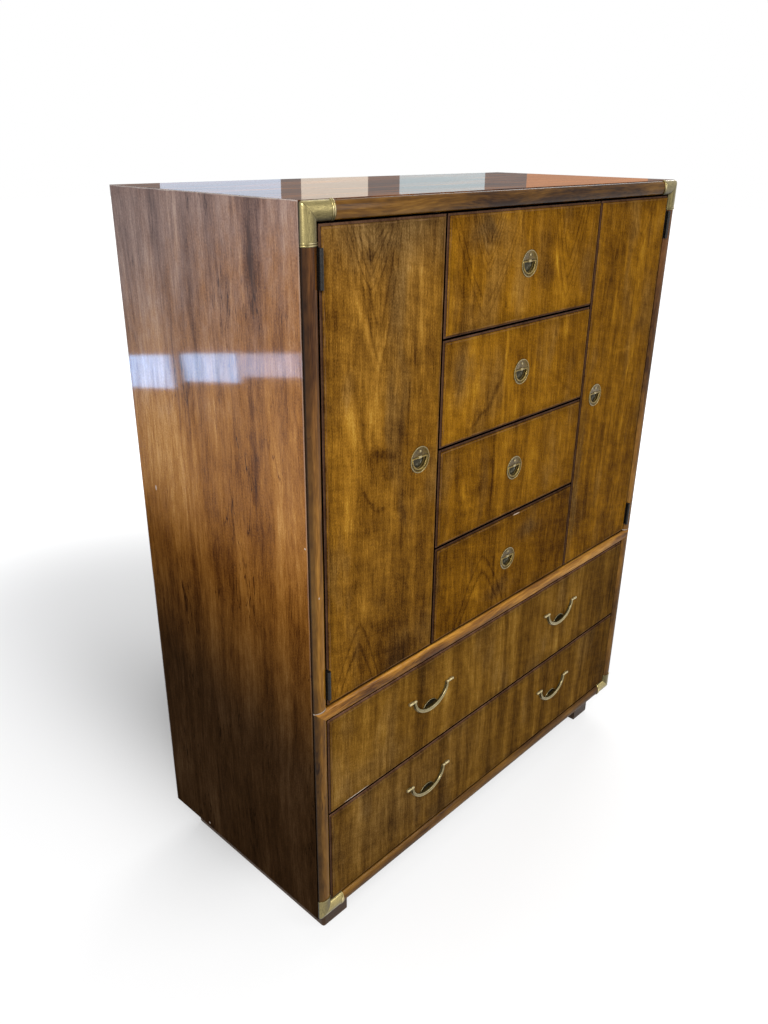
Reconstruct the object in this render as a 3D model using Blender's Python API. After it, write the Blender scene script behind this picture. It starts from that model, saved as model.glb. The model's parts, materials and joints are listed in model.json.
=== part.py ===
"""A gentleman's chest in the campaign style: two doors, four small drawers and two long drawers.

All lengths are in metres. X runs to the right, Y from the front to the back, and Z up.
The origin is on the floor, under the middle of the chest.
"""
import math

import bmesh
import bpy
from mathutils import Matrix, Vector

# Driving dimensions of the case
case_width = 1.067
case_depth = 0.475
base_height = 0.080
frame_width = 0.028
middle_rail_height = 0.026
reveal = 0.0026
hinge_reveal = 0.0036
small_drawer_width = 0.458
small_drawer_heights = (0.1968, 0.1886, 0.1893, 0.2015)
long_drawer_height = 0.2083

# Boards
panel_thickness = 0.020
deck_thickness = 0.018
partition_thickness = 0.018
back_thickness = 0.006
back_rebate = 0.010
joint = 0.0003
slide_gap = 0.0004
overrun = 0.010

# Half-round moulding of the front frame, measured from the raised faces of the doors
crown_proud = 0.003
crown_edge = 0.004
shoulder = 0.006
frame_depth = 0.022
frame_inset = 0.0015
crown_steps = 10

# Doors and drawer fronts
front_thickness = 0.020
rim_width = 0.006
rim_step = 0.0035
field_round = 0.0010
field_round_steps = 2

# Drawer boxes and their runners
box_wall = 0.012
box_bottom = 0.007
box_top_space = 0.030
box_back_space = 0.020
box_side_space = 0.001
runner_height = 0.016
small_runner_width = 0.014
long_runner_width = 0.022

# Recessed base, its front board cut out between two feet
base_front_recess = 0.034
base_side_recess = 0.038
base_back_recess = 0.020
base_board = 0.020
foot_width = 0.065
foot_drop = 0.040
foot_round = 0.007
foot_round_steps = 4

# Brass corners
corner_leg = 0.0595
corner_wall = 0.0015
corner_proud = 0.0009
bead_width = 0.007
bead_proud = 0.0006

# Butt hinges
hinge_height = 0.056
top_hinge_inset = 0.0587
bottom_hinge_inset = 0.046
barrel_radius = 0.0035
barrel_proud = 0.0042
leaf_thickness = 0.0015
leaf_depth = 0.018
leaf_mortise = 0.0012
knuckle_count = 5
barrel_sides = 20

# Ring pulls on the doors and small drawers
plate_radius = 0.024
plate_proud = 0.0012
plate_sides = 40
ring_radius = 0.0018
ring_half_width = 0.0187
ring_drop = 0.0214
ring_proud = 0.0004
ring_pivot_above_centre = 0.0040
ring_cup_half_width = 0.0140
ring_cup_height = 0.0165
lug_half_width = 0.004
lug_wall = 0.0010
ring_play = 0.0004
pan_play = 0.0006
door_pull_inset = 0.051
small_pull_rise = 0.003

# Crescent pulls on the long drawers
bail_half_span = 0.0485
bail_drop = 0.0395
bail_pin_radius = 0.0015
bail_end_radius = 0.0020
bail_middle_radius = 0.0040
bail_flattening = 0.42
bail_half_depth = 0.0024
bail_bend = 0.004
crescent_proud = 0.0010
crescent_margin = 0.0035
crescent_inner_drop = 0.0356
crescent_outer_drop = 0.0452
crescent_tab_half_height = 0.0035
ear_inner = 0.053
ear_outer = 0.066
ear_half_height = 0.0028
ear_pin_length = 0.008
ear_play = 0.00035
crescent_cup_half_width = 0.0215
crescent_cup_rim = 0.0015
crescent_cup_drop = 0.0390
crescent_cup_height = 0.0169
pivot_above_centre = 0.030

# Sunk brass cups of both kinds of pull
cup_depth = 0.009
cup_wall = 0.001
arc_steps = 14
bail_steps = 18

# Heights, from the floor up
case_bottom = base_height
bottom_rail_top = case_bottom + frame_width
long_2_bottom = bottom_rail_top + reveal
long_1_bottom = long_2_bottom + long_drawer_height + reveal
middle_rail_bottom = long_1_bottom + long_drawer_height + reveal
middle_rail_top = middle_rail_bottom + middle_rail_height
upper_bottom = middle_rail_top + reveal
small_count = len(small_drawer_heights)
door_height = sum(small_drawer_heights) + (small_count - 1) * reveal
top_rail_bottom = upper_bottom + door_height + reveal
case_top = top_rail_bottom + frame_width

# Distances from the middle plane
side_x = case_width / 2
inner_x = side_x - panel_thickness
stile_x = side_x - frame_width
door_outer_x = stile_x - hinge_reveal
door_inner_x = small_drawer_width / 2 + reveal
door_width = door_outer_x - door_inner_x
hinge_x = stile_x - hinge_reveal / 2
partition_x = small_drawer_width / 2 + reveal / 2
partition_inner_x = partition_x - partition_thickness / 2

# Depths: front_y is the plane of the raised faces
bail_stand = crescent_proud + joint + bail_half_depth + joint
front_y = (barrel_proud + barrel_radius - case_depth) / 2
back_y = front_y + case_depth
panel_front_y = front_y + shoulder + joint
deck_back_y = back_y - back_thickness - joint
body_front_y = front_y + frame_depth + joint
ring_stand = joint + plate_proud + ring_proud - ring_radius
pan_floor = ring_radius + pan_play - ring_stand
box_length = case_depth - front_thickness - back_thickness - box_back_space
brass_reach = corner_proud + bead_proud
deck_rise = brass_reach + joint


def clear_scene():
    for old in list(bpy.data.objects):
        bpy.data.objects.remove(old, do_unlink=True)


def new_collection(name):
    collection = bpy.data.collections.new(name)
    bpy.context.scene.collection.children.link(collection)
    return collection


def new_material(name, colour, roughness, metallic=0.0):
    material = bpy.data.materials.new(name)
    material.use_nodes = True
    shader = material.node_tree.nodes["Principled BSDF"]
    shader.inputs["Base Color"].default_value = (*colour, 1.0)
    shader.inputs["Roughness"].default_value = roughness
    shader.inputs["Metallic"].default_value = metallic
    return material


clear_scene()
parts = new_collection("gentlemans_chest")
guides = new_collection("cutters")
veneer = new_material("walnut_veneer", (0.30, 0.15, 0.05), 0.25)
moulding_wood = new_material("walnut_moulding", (0.20, 0.09, 0.035), 0.30)
base_wood = new_material("dark_base_wood", (0.07, 0.035, 0.02), 0.45)
box_wood = new_material("drawer_box_wood", (0.55, 0.40, 0.24), 0.55)
back_board = new_material("back_board", (0.25, 0.16, 0.09), 0.70)
brass = new_material("aged_brass", (0.56, 0.47, 0.24), 0.32, 1.0)
steel = new_material("black_steel", (0.03, 0.03, 0.03), 0.45, 0.8)


# Helpers that place objects and join shapes
def add_empty(name, location, parent=None):
    empty = bpy.data.objects.new(name, None)
    parts.objects.link(empty)
    place(empty, location, parent)
    return empty


def world_place(item):
    place_so_far = item.location.copy()
    while item.parent:
        item = item.parent
        place_so_far += item.location
    return place_so_far


def place(item, location, parent=None):
    item.location = Vector(location)
    if parent:
        item.parent = parent
        item.location -= world_place(parent)


def finish_mesh(bm, name):
    bmesh.ops.recalc_face_normals(bm, faces=bm.faces)
    mesh = bpy.data.meshes.new(name)
    bm.to_mesh(mesh)
    bm.free()
    return mesh


def add_part(name, mesh, location, material, parent=None):
    part = bpy.data.objects.new(name, mesh)
    if not mesh.materials:
        mesh.materials.append(material)
    parts.objects.link(part)
    place(part, location, parent)
    return part


def add_guide(name, mesh, location):
    guide = bpy.data.objects.new(name, mesh)
    guides.objects.link(guide)
    guide.hide_render = True
    guide.display_type = "WIRE"
    guide.location = Vector(location)
    return guide


def shape(part, guide, operation):
    change = part.modifiers.new(guide.name, "BOOLEAN")
    change.object = guide
    change.operation = operation
    change.solver = "EXACT"


def evaluated_mesh(item, name):
    """The mesh of an object with its modifiers or its tube, free of doubled points."""
    bpy.context.view_layer.update()
    seen = item.evaluated_get(bpy.context.evaluated_depsgraph_get())
    mesh = bpy.data.meshes.new_from_object(seen)
    mesh.name = name
    bm = bmesh.new()
    bm.from_mesh(mesh)
    bmesh.ops.remove_doubles(bm, verts=bm.verts, dist=joint / 100)
    bmesh.ops.recalc_face_normals(bm, faces=bm.faces)
    bm.to_mesh(mesh)
    bm.free()
    return mesh


def round_shading(mesh):
    mesh.shade_smooth()
    mesh.set_sharp_from_angle(angle=math.radians(35))


# Shapes
def box_mesh(name, size):
    bm = bmesh.new()
    bmesh.ops.create_cube(bm, size=1)
    bmesh.ops.scale(bm, vec=size, verts=bm.verts)
    return finish_mesh(bm, name)


def box_between(low, high):
    """The size and the middle of a box given by two corners."""
    size = tuple(b - a for a, b in zip(low, high))
    middle = tuple((a + b) / 2 for a, b in zip(low, high))
    return size, middle


def add_board(name, low, high, material, parent=None):
    size, middle = box_between(low, high)
    return add_part(name, box_mesh(name, size), middle, material, parent)


def board_guide(name, low, high):
    size, middle = box_between(low, high)
    return add_guide(name, box_mesh(name, size), middle)


def cylinder_mesh(name, radius, length, sides, along):
    bm = bmesh.new()
    turn = Vector((0, 0, 1)).rotation_difference(Vector(along)).to_matrix().to_4x4()
    bmesh.ops.create_cone(
        bm, cap_ends=True, segments=sides, radius1=radius, radius2=radius, depth=length, matrix=turn
    )
    return finish_mesh(bm, name)


def outline_bmesh(outline, near, far):
    """A flat outline in X and Z, made solid from depth near to depth far."""
    bm = bmesh.new()
    face = bm.faces.new([bm.verts.new((x, near, z)) for x, z in outline])
    grown = bmesh.ops.extrude_face_region(bm, geom=[face])["geom"]
    moved = [item for item in grown if isinstance(item, bmesh.types.BMVert)]
    bmesh.ops.translate(bm, vec=(0, far - near, 0), verts=moved)
    return bm


def outline_mesh(name, outline, near, far):
    return finish_mesh(outline_bmesh(outline, near, far), name)


def half_ellipse(half_width, height, base=0.0):
    """A D shape: its straight side lies at base, and its arc reaches base + height."""
    points = []
    for step in range(arc_steps + 1):
        angle = math.pi * step / arc_steps
        points.append((half_width * math.cos(angle), base + height * math.sin(angle)))
    return points


def loft_bmesh(stations, across, along):
    """A closed solid through like outlines (across, depth), each at its own place along."""
    bm = bmesh.new()
    across = Vector(across)
    along = Vector(along)
    rings = []
    for distance, outline in stations:
        ring = [bm.verts.new(across * u + Vector((0, v, 0)) + along * distance) for u, v in outline]
        rings.append(ring)
    for lower, upper in zip(rings, rings[1:]):
        for first in range(len(lower)):
            second = (first + 1) % len(lower)
            bm.faces.new((lower[first], lower[second], upper[second], upper[first]))
    bm.faces.new(rings[0])
    bm.faces.new(rings[-1])
    bmesh.ops.remove_doubles(bm, verts=bm.verts, dist=joint / 100)
    bmesh.ops.dissolve_degenerate(bm, dist=joint / 100, edges=bm.edges)
    bmesh.ops.recalc_face_normals(bm, faces=bm.faces)
    return bm


def cut_end(bm, point, normal, fill=True):
    """Cuts away what lies past a plane, and closes the cut where it is asked to."""
    everything = bm.verts[:] + bm.edges[:] + bm.faces[:]
    cut = bmesh.ops.bisect_plane(
        bm, geom=everything, dist=joint / 100, plane_co=point, plane_no=normal, clear_outer=True
    )
    if fill:
        edges = [item for item in cut["geom_cut"] if isinstance(item, bmesh.types.BMEdge)]
        bmesh.ops.contextual_create(bm, geom=edges)


def crown(outer, inner, inset=0.0):
    """The half-round front of a moulding, from its outer edge to its inner edge."""
    first = outer + inset
    last = inner - inset
    rise = crown_edge + crown_proud - inset
    points = []
    for step in range(crown_steps + 1):
        angle = math.pi * step / crown_steps
        across = (first + last) / 2 - (last - first) / 2 * math.cos(angle)
        points.append((across, crown_edge - rise * math.sin(angle)))
    return points


def covered_outline(inset=0.0):
    """Moulding whose outer part covers the front edge of a panel, with a tongue beside the panel."""
    behind = panel_thickness + joint
    tail = [(frame_width - inset, shoulder), (frame_width, shoulder), (frame_width, frame_depth)]
    tail += [(behind, frame_depth), (behind, shoulder), (frame_inset + inset, shoulder)]
    return crown(frame_inset, frame_width, inset) + tail


neck_inset = corner_wall - corner_proud + joint


def carved_mesh(name, body, steps):
    """Joins and cuts a body with guides, one after the other, and gives the mesh."""
    bpy.context.scene.collection.objects.link(body)
    for guide, operation in steps:
        shape(body, guide, operation)
    mesh = evaluated_mesh(body, name)
    for used in [body] + [guide for guide, operation in steps]:
        bpy.data.objects.remove(used, do_unlink=True)
    round_shading(mesh)
    return mesh


def outline_guide(name, outline, near, far):
    return add_guide(name, outline_mesh(name, outline, near, far), (0, 0, 0))


# Case
def side_panel(name, side):
    outline = [
        (side * side_x, panel_front_y),
        (side * inner_x, panel_front_y),
        (side * inner_x, deck_back_y),
        (side * (side_x - back_rebate), deck_back_y),
        (side * (side_x - back_rebate), back_y),
        (side * side_x, back_y),
    ]
    stations = [(case_bottom, outline), (case_top + overrun, outline)]
    bm = loft_bmesh(stations, (1, 0, 0), (0, 0, 1))
    cut_end(bm, (side * (side_x + joint / 2), 0, case_top), (-side, 0, 1))
    panel = add_part(name, finish_mesh(bm, name), (0, 0, 0), veneer)
    runner_top = long_1_bottom - reveal
    runner = board_guide(
        name + "_runner",
        (min(side * (inner_x + joint), side * (inner_x - long_runner_width)), body_front_y, runner_top - runner_height),
        (max(side * (inner_x + joint), side * (inner_x - long_runner_width)), deck_back_y - joint, runner_top),
    )
    shape(panel, runner, "UNION")


def top_panel():
    low = case_top - panel_thickness
    outline = [
        (case_top, panel_front_y),
        (low, panel_front_y),
        (low, deck_back_y),
        (case_top - back_rebate, deck_back_y),
        (case_top - back_rebate, back_y),
        (case_top, back_y),
    ]
    stations = [(-side_x - overrun, outline), (side_x + overrun, outline)]
    bm = loft_bmesh(stations, (0, 0, 1), (1, 0, 0))
    for side in (-1, 1):
        cut_end(bm, (side * (side_x - joint / 2), 0, case_top), (side, 0, -1))
    add_part("top_panel", finish_mesh(bm, "top_panel"), (0, 0, 0), veneer)


def back_panel():
    half = side_x - back_rebate - joint
    add_board(
        "back_panel",
        (-half, back_y - back_thickness, case_bottom),
        (half, back_y, case_top - back_rebate - joint),
        back_board,
    )


def deck_outline(rail_height, outer, rise, inset=0.0):
    """Rail and deck in one section: heights run down from the rail's top, and the deck may stand above it."""
    low = rail_height - outer
    points = [(height, front_y + depth) for height, depth in crown(0.0, low, inset)]
    points += [(low - inset, front_y + shoulder), (low, front_y + shoulder), (low, front_y + frame_depth)]
    points += [(deck_thickness, front_y + frame_depth), (deck_thickness, deck_back_y - joint)]
    points += [(-rise, deck_back_y - joint), (-rise, front_y + frame_depth), (0.0, front_y + frame_depth)]
    points += [(0.0, front_y + shoulder), (inset, front_y + shoulder)]
    return points


def middle_deck():
    outline = deck_outline(middle_rail_height, 0.0, 0.0)
    stations = [(-side_x, outline), (side_x, outline)]
    bm = loft_bmesh(stations, (0, 0, -1), (1, 0, 0))
    bmesh.ops.translate(bm, vec=(0, 0, middle_rail_top), verts=bm.verts)
    for side in (-1, 1):
        cut_end(bm, mitre_point(side, -joint / 2), mitre_normal(side))
    deck = add_part("middle_deck", finish_mesh(bm, "middle_deck"), (0, 0, 0), moulding_wood)
    for side in (-1, 1):
        ends = sorted((side * (inner_x - joint), side * (side_x + overrun)))
        notch = board_guide(
            f"middle_deck_end_{side}",
            (ends[0], front_y + shoulder, middle_rail_bottom - overrun),
            (ends[1], back_y + overrun, middle_rail_top + overrun),
        )
        shape(deck, notch, "DIFFERENCE")


def mitre_point(side, shift):
    return (side * (side_x - frame_inset + shift), 0, middle_rail_top)


def mitre_normal(side):
    """Square to the mitre between a lower stile and the middle rail, and away from the rail."""
    run = frame_width - frame_inset
    return (side * middle_rail_height, 0, -run)


def bottom_deck():
    full = deck_outline(frame_width, frame_inset, deck_rise)
    neck = deck_outline(frame_width, frame_inset, deck_rise, neck_inset)
    end = inner_x - joint
    leg = side_x - corner_leg - joint
    stations = [(-end, neck), (-leg, neck), (-leg, full), (leg, full), (leg, neck), (end, neck)]
    bm = loft_bmesh(stations, (0, 0, -1), (1, 0, 0))
    bmesh.ops.translate(bm, vec=(0, 0, bottom_rail_top), verts=bm.verts)
    deck = add_part("bottom_deck", finish_mesh(bm, "bottom_deck"), (0, 0, 0), moulding_wood)
    for side in (-1, 1):
        ends = sorted((side * (stile_x - joint), side * (side_x + overrun)))
        notch = board_guide(
            f"bottom_deck_end_{side}",
            (ends[0], front_y - overrun, case_bottom - overrun),
            (ends[1], body_front_y, bottom_rail_top + overrun),
        )
        shape(deck, notch, "DIFFERENCE")


def partition(name, side):
    low = (side * partition_x - partition_thickness / 2, body_front_y, middle_rail_top + joint)
    high = (
        side * partition_x + partition_thickness / 2,
        deck_back_y - joint,
        case_top - panel_thickness - joint,
    )
    board = add_board(name, low, high, box_wood)
    for number in range(1, small_count):
        runner_top = small_drawer_bottom(number) - reveal
        ends = sorted((side * (partition_inner_x + joint), side * (partition_inner_x - small_runner_width)))
        runner = board_guide(
            f"{name}_runner_{number}",
            (ends[0], body_front_y + joint, runner_top - runner_height),
            (ends[1], deck_back_y - 2 * joint, runner_top),
        )
        shape(board, runner, "UNION")


def small_drawer_bottom(number):
    """Drawers are numbered from the top, from 1."""
    below = small_drawer_heights[number:]
    return upper_bottom + sum(below) + len(below) * reveal


# Front frame
def stile_mesh(name, stations, side, cuts):
    """A stile, cut to each of the given mitres."""
    bm = loft_bmesh(stations, (-side, 0, 0), (0, 0, 1))
    bmesh.ops.translate(bm, vec=(side * side_x, front_y, 0), verts=bm.verts)
    for point, normal in cuts:
        cut_end(bm, point, normal)
    return finish_mesh(bm, name)


def upper_stile(name, side):
    full = covered_outline()
    neck = covered_outline(neck_inset)
    leg = case_top - corner_leg - joint
    stations = [(middle_rail_top + joint, full), (leg, full), (leg, neck), (case_top, neck)]
    cuts = [((side * side_x, 0, case_top - joint), (-side, 0, 1))]
    stile = add_part(name, stile_mesh(name, stations, side, cuts), (0, 0, 0), moulding_wood)
    for middle in hinge_heights():
        shape(stile, mortise_guide(f"{name}_mortise", side, middle, stile_x), "DIFFERENCE")


def lower_stile(name, side):
    full = covered_outline()
    neck = covered_outline(neck_inset)
    leg = case_bottom + corner_leg + joint
    stations = [(case_bottom, neck), (leg, neck), (leg, full), (middle_rail_top, full)]
    cuts = [
        ((side * side_x, 0, case_bottom + joint), (-side, 0, -1)),
        (mitre_point(side, joint / 2), -Vector(mitre_normal(side))),
    ]
    add_part(name, stile_mesh(name, stations, side, cuts), (0, 0, 0), moulding_wood)


def top_rail():
    full = covered_outline()
    neck = covered_outline(neck_inset)
    end = stile_x - joint
    leg = side_x - corner_leg - joint
    stations = [(-end, neck), (-leg, neck), (-leg, full), (leg, full), (leg, neck), (end, neck)]
    bm = loft_bmesh(stations, (0, 0, -1), (1, 0, 0))
    bmesh.ops.translate(bm, vec=(0, front_y, case_top), verts=bm.verts)
    add_part("top_rail", finish_mesh(bm, "top_rail"), (0, 0, 0), moulding_wood)


def sleeve_outline(proud):
    """Section of the brass sleeve over a moulding, with its open side to the back."""
    outer = crown(frame_inset, frame_width, -proud)
    inner = crown(frame_inset, frame_width, corner_wall - corner_proud)
    edge = shoulder - joint
    ends = [(outer[-1][0], edge), (inner[-1][0], edge)]
    starts = [(inner[0][0], edge), (outer[0][0], edge)]
    return outer + ends + inner[::-1] + starts


def corner_mesh():
    """Two mitred legs round a lower left corner, each with a bead at its end."""
    leg = sleeve_outline(corner_proud)
    bead = sleeve_outline(corner_proud + bead_proud)
    bead_start = corner_leg - bead_width
    stations = [(-overrun, leg), (bead_start, leg), (bead_start, bead), (corner_leg, bead)]
    bm = loft_bmesh(stations, (1, 0, 0), (0, 0, 1))
    cut_end(bm, (0, 0, 0), (1, 0, -1), fill=False)
    twin = bmesh.ops.duplicate(bm, geom=bm.verts[:] + bm.edges[:] + bm.faces[:])["geom"]
    twin_verts = [item for item in twin if isinstance(item, bmesh.types.BMVert)]
    swap = Matrix(((0, 0, 1), (0, 1, 0), (1, 0, 0)))
    bmesh.ops.transform(bm, matrix=swap.to_4x4(), verts=twin_verts)
    bmesh.ops.remove_doubles(bm, verts=bm.verts, dist=joint / 100)
    mesh = finish_mesh(bm, "brass_corner")
    round_shading(mesh)
    return mesh


def brass_corners():
    mesh = corner_mesh()
    corners = (
        ("bottom_left", -side_x, case_bottom, 0),
        ("top_left", -side_x, case_top, 90),
        ("top_right", side_x, case_top, 180),
        ("bottom_right", side_x, case_bottom, 270),
    )
    for name, x, z, turn in corners:
        corner = add_part("brass_corner_" + name, mesh, (x, front_y, z), brass)
        corner.rotation_euler = (0, math.radians(turn), 0)


# Base
def base_frame():
    half = side_x - base_side_recess
    near = front_y + base_front_recess
    far = back_y - base_back_recess
    top = bottom_rail_top - deck_thickness - joint
    size, middle = box_between((-half, near, 0), (half, far, top))
    bm = bmesh.new()
    bmesh.ops.create_cube(bm, size=1)
    bmesh.ops.scale(bm, vec=size, verts=bm.verts)
    low_edges = [edge for edge in bm.edges if min(vert.co.z for vert in edge.verts) < 0]
    bmesh.ops.bevel(
        bm, geom=low_edges, offset=foot_round, segments=foot_round_steps,
        affect="EDGES", profile=0.5, material=-1,
    )
    frame = add_part("base_frame", finish_mesh(bm, "base_frame"), middle, base_wood)
    hollow = board_guide(
        "base_hollow",
        (-half + base_board, near + base_board, -overrun),
        (half - base_board, far - base_board, top + overrun),
    )
    arch = outline_guide("base_front_arch", arch_outline(half - foot_width), -overrun, base_board + overrun)
    arch.location = Vector((0, near, 0))
    for guide in (hollow, arch):
        shape(frame, guide, "DIFFERENCE")


def arch_outline(half):
    """The cut-out under the front board, flared round the feet's lower corners."""
    side = [(half, foot_drop)]
    for step in range(foot_round_steps + 1):
        angle = math.radians(90) * step / foot_round_steps
        side.append((half + foot_round * (1 - math.cos(angle)), foot_round * (1 - math.sin(angle))))
    side.append((half + foot_round, -overrun))
    return side + [(-x, z) for x, z in reversed(side)]


# Hinges
def hinge_heights():
    top = upper_bottom + door_height
    return (top - top_hinge_inset, upper_bottom + bottom_hinge_inset)


def mortise_guide(name, side, middle, edge_x):
    """The pocket that a leaf lies in, in the edge of a stile or of a door."""
    reach = leaf_mortise if edge_x == stile_x else -leaf_mortise
    sides = sorted((side * (edge_x + reach), side * (edge_x - reach)))
    half = hinge_height / 2 + joint
    return board_guide(
        f"{name}_{middle:.3f}",
        (sides[0], front_y - overrun, middle - half),
        (sides[1], front_y + leaf_depth + joint, middle + half),
    )


def hinge_leaf_mesh(name, direction, knuckles):
    """A leaf about its barrel's axis, with the given knuckles out of all of them."""
    outer = hinge_reveal / 2 + leaf_mortise - joint
    inner = outer - leaf_thickness
    ends = sorted((direction * outer, direction * inner))
    plate_start = barrel_radius + joint
    plate_end = barrel_proud + leaf_depth
    pitch = hinge_height / knuckle_count
    size, middle = box_between(
        (ends[0], plate_start, -hinge_height / 2), (ends[1], plate_end, hinge_height / 2)
    )
    plate = box_mesh(name, size)
    plate.transform(Matrix.Translation(middle))
    steps = []
    for number in knuckles:
        low = -hinge_height / 2 + number * pitch + joint / 2
        high = low + pitch - joint
        tab = board_guide(f"{name}_tab_{number}", (ends[0], barrel_radius / 2, low), (ends[1], 2 * plate_start, high))
        tube = cylinder_mesh(name + "_knuckle", barrel_radius, high - low, barrel_sides, (0, 0, 1))
        knuckle = add_guide(f"{name}_knuckle_{number}", tube, (0, 0, (low + high) / 2))
        steps += [(tab, "UNION"), (knuckle, "UNION")]
    return carved_mesh(name, bpy.data.objects.new(name, plate), steps)


def hinge_axis(side):
    return Vector((side * hinge_x, front_y - barrel_proud, 0))


# Doors and drawers
def raised_front_mesh(name, width, height):
    """A board with a raised field and a lower rim: its back lies at front_thickness."""
    bm = bmesh.new()
    bmesh.ops.create_cube(bm, size=1)
    bmesh.ops.scale(bm, vec=(width, front_thickness - rim_step, height), verts=bm.verts)
    bmesh.ops.translate(bm, vec=(0, (front_thickness + rim_step) / 2, 0), verts=bm.verts)
    field = min(bm.faces, key=lambda face: face.calc_center_median().y)
    bmesh.ops.inset_region(bm, faces=[field], thickness=rim_width)
    field = bmesh.ops.extrude_discrete_faces(bm, faces=[field])["faces"][0]
    bmesh.ops.translate(bm, vec=(0, -rim_step, 0), verts=field.verts[:])
    bmesh.ops.bevel(
        bm, geom=field.edges[:], offset=field_round, segments=field_round_steps,
        affect="EDGES", profile=0.5, material=-1,
    )
    return finish_mesh(bm, name)


def box_part(name, half_width, bottom, height, parent):
    """An open drawer box behind its front."""
    near = front_y + front_thickness + joint
    size = (2 * half_width, box_length, height)
    bm = bmesh.new()
    bmesh.ops.create_cube(bm, size=1)
    bmesh.ops.scale(bm, vec=size, verts=bm.verts)
    mouth = max(bm.faces, key=lambda face: face.calc_center_median().z)
    bmesh.ops.inset_region(bm, faces=[mouth], thickness=box_wall)
    floor = bmesh.ops.extrude_discrete_faces(bm, faces=[mouth])["faces"][0]
    bmesh.ops.translate(bm, vec=(0, 0, box_bottom - height), verts=floor.verts[:])
    middle = (0, near + box_length / 2, bottom + height / 2)
    add_part(name, finish_mesh(bm, name), middle, box_wood, parent)


def ring_cup_outline(extra):
    base = extra - ring_radius - pan_play
    return half_ellipse(ring_cup_half_width + extra, -ring_cup_height - 2 * extra, base)


def ring_pan_outline(extra):
    """The sunk place that the ring lies in, round the ring's own outline."""
    room = ring_radius + pan_play + extra
    return half_ellipse(ring_half_width + room, -ring_drop - room) + [
        (-ring_half_width - room, room),
        (ring_half_width + room, room),
    ]


def crescent_cup_outline(extra):
    base = -crescent_cup_drop - extra
    return half_ellipse(crescent_cup_half_width + extra, crescent_cup_height + 2 * extra, base)


def cup_pocket(part, outline, depth, pivot, lean):
    """Cuts the pocket for a sunk cup of the given depth into a front."""
    mesh = outline_mesh(part.name + "_pocket", outline, -overrun, depth + cup_wall + joint)
    guide = add_guide(f"{part.name}_pocket_{lean}", mesh, pivot)
    shape(part, guide, "DIFFERENCE")


def ring_pull_plate_mesh():
    """Round plate about the ring's pivot: a sunk pan for the ring, a deeper cup, and a lug."""
    disc = cylinder_mesh("ring_plate", plate_radius, plate_proud, plate_sides, (0, -1, 0))
    half_plate = -joint - plate_proud / 2
    disc.transform(Matrix.Translation((0, half_plate, -ring_pivot_above_centre)))
    lug_half = ring_radius + ring_play + lug_wall
    lug = board_guide(
        "ring_lug",
        (-lug_half_width, -ring_stand - lug_half, -lug_half),
        (lug_half_width, pan_floor + cup_wall / 2, ring_radius + pan_play + cup_wall / 2),
    )
    bore_mesh = cylinder_mesh("ring_bore", ring_radius + ring_play, 4 * lug_half_width, barrel_sides, (1, 0, 0))
    bore = add_guide("ring_bore", bore_mesh, (0, -ring_stand, 0))
    steps = (
        (outline_guide("ring_pan", ring_pan_outline(cup_wall), half_plate, pan_floor + cup_wall), "UNION"),
        (outline_guide("ring_cup", ring_cup_outline(cup_wall), pan_floor / 2, cup_depth + cup_wall), "UNION"),
        (outline_guide("pan_hollow", ring_pan_outline(0.0), -overrun, pan_floor), "DIFFERENCE"),
        (outline_guide("cup_hollow", ring_cup_outline(0.0), -overrun, cup_depth), "DIFFERENCE"),
        (lug, "UNION"),
        (bore, "DIFFERENCE"),
    )
    return carved_mesh("ring_pull_plate", bpy.data.objects.new("ring_plate", disc), steps)


def tube_mesh(name, points, radii, cyclic):
    """A round bar along its points, each with its own radius."""
    curve = bpy.data.curves.new(name, "CURVE")
    curve.dimensions = "3D"
    curve.bevel_depth = 1.0
    curve.bevel_resolution = 2
    curve.use_fill_caps = not cyclic
    spline = curve.splines.new("POLY")
    spline.points.add(len(points) - 1)
    for knot, point, radius in zip(spline.points, points, radii):
        knot.co = (*point, 1.0)
        knot.radius = radius
    spline.use_cyclic_u = cyclic
    bar = bpy.data.objects.new(name, curve)
    bpy.context.scene.collection.objects.link(bar)
    mesh = evaluated_mesh(bar, name)
    bpy.data.objects.remove(bar, do_unlink=True)
    bpy.data.curves.remove(curve)
    round_shading(mesh)
    return mesh


def ring_mesh():
    """A D-shaped ring about its crossbar's axis."""
    points = []
    for step in range(arc_steps + 1):
        angle = math.pi * step / arc_steps
        points.append((ring_half_width * math.cos(angle), 0, -ring_drop * math.sin(angle)))
    corner = ring_half_width - 2 * ring_radius
    points[0] = (ring_half_width, 0, -2 * ring_radius)
    points[-1] = (-ring_half_width, 0, -2 * ring_radius)
    points += [(-corner, 0, 0), (corner, 0, 0)]
    return tube_mesh("pull_ring", points, [ring_radius] * len(points), True)


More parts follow.
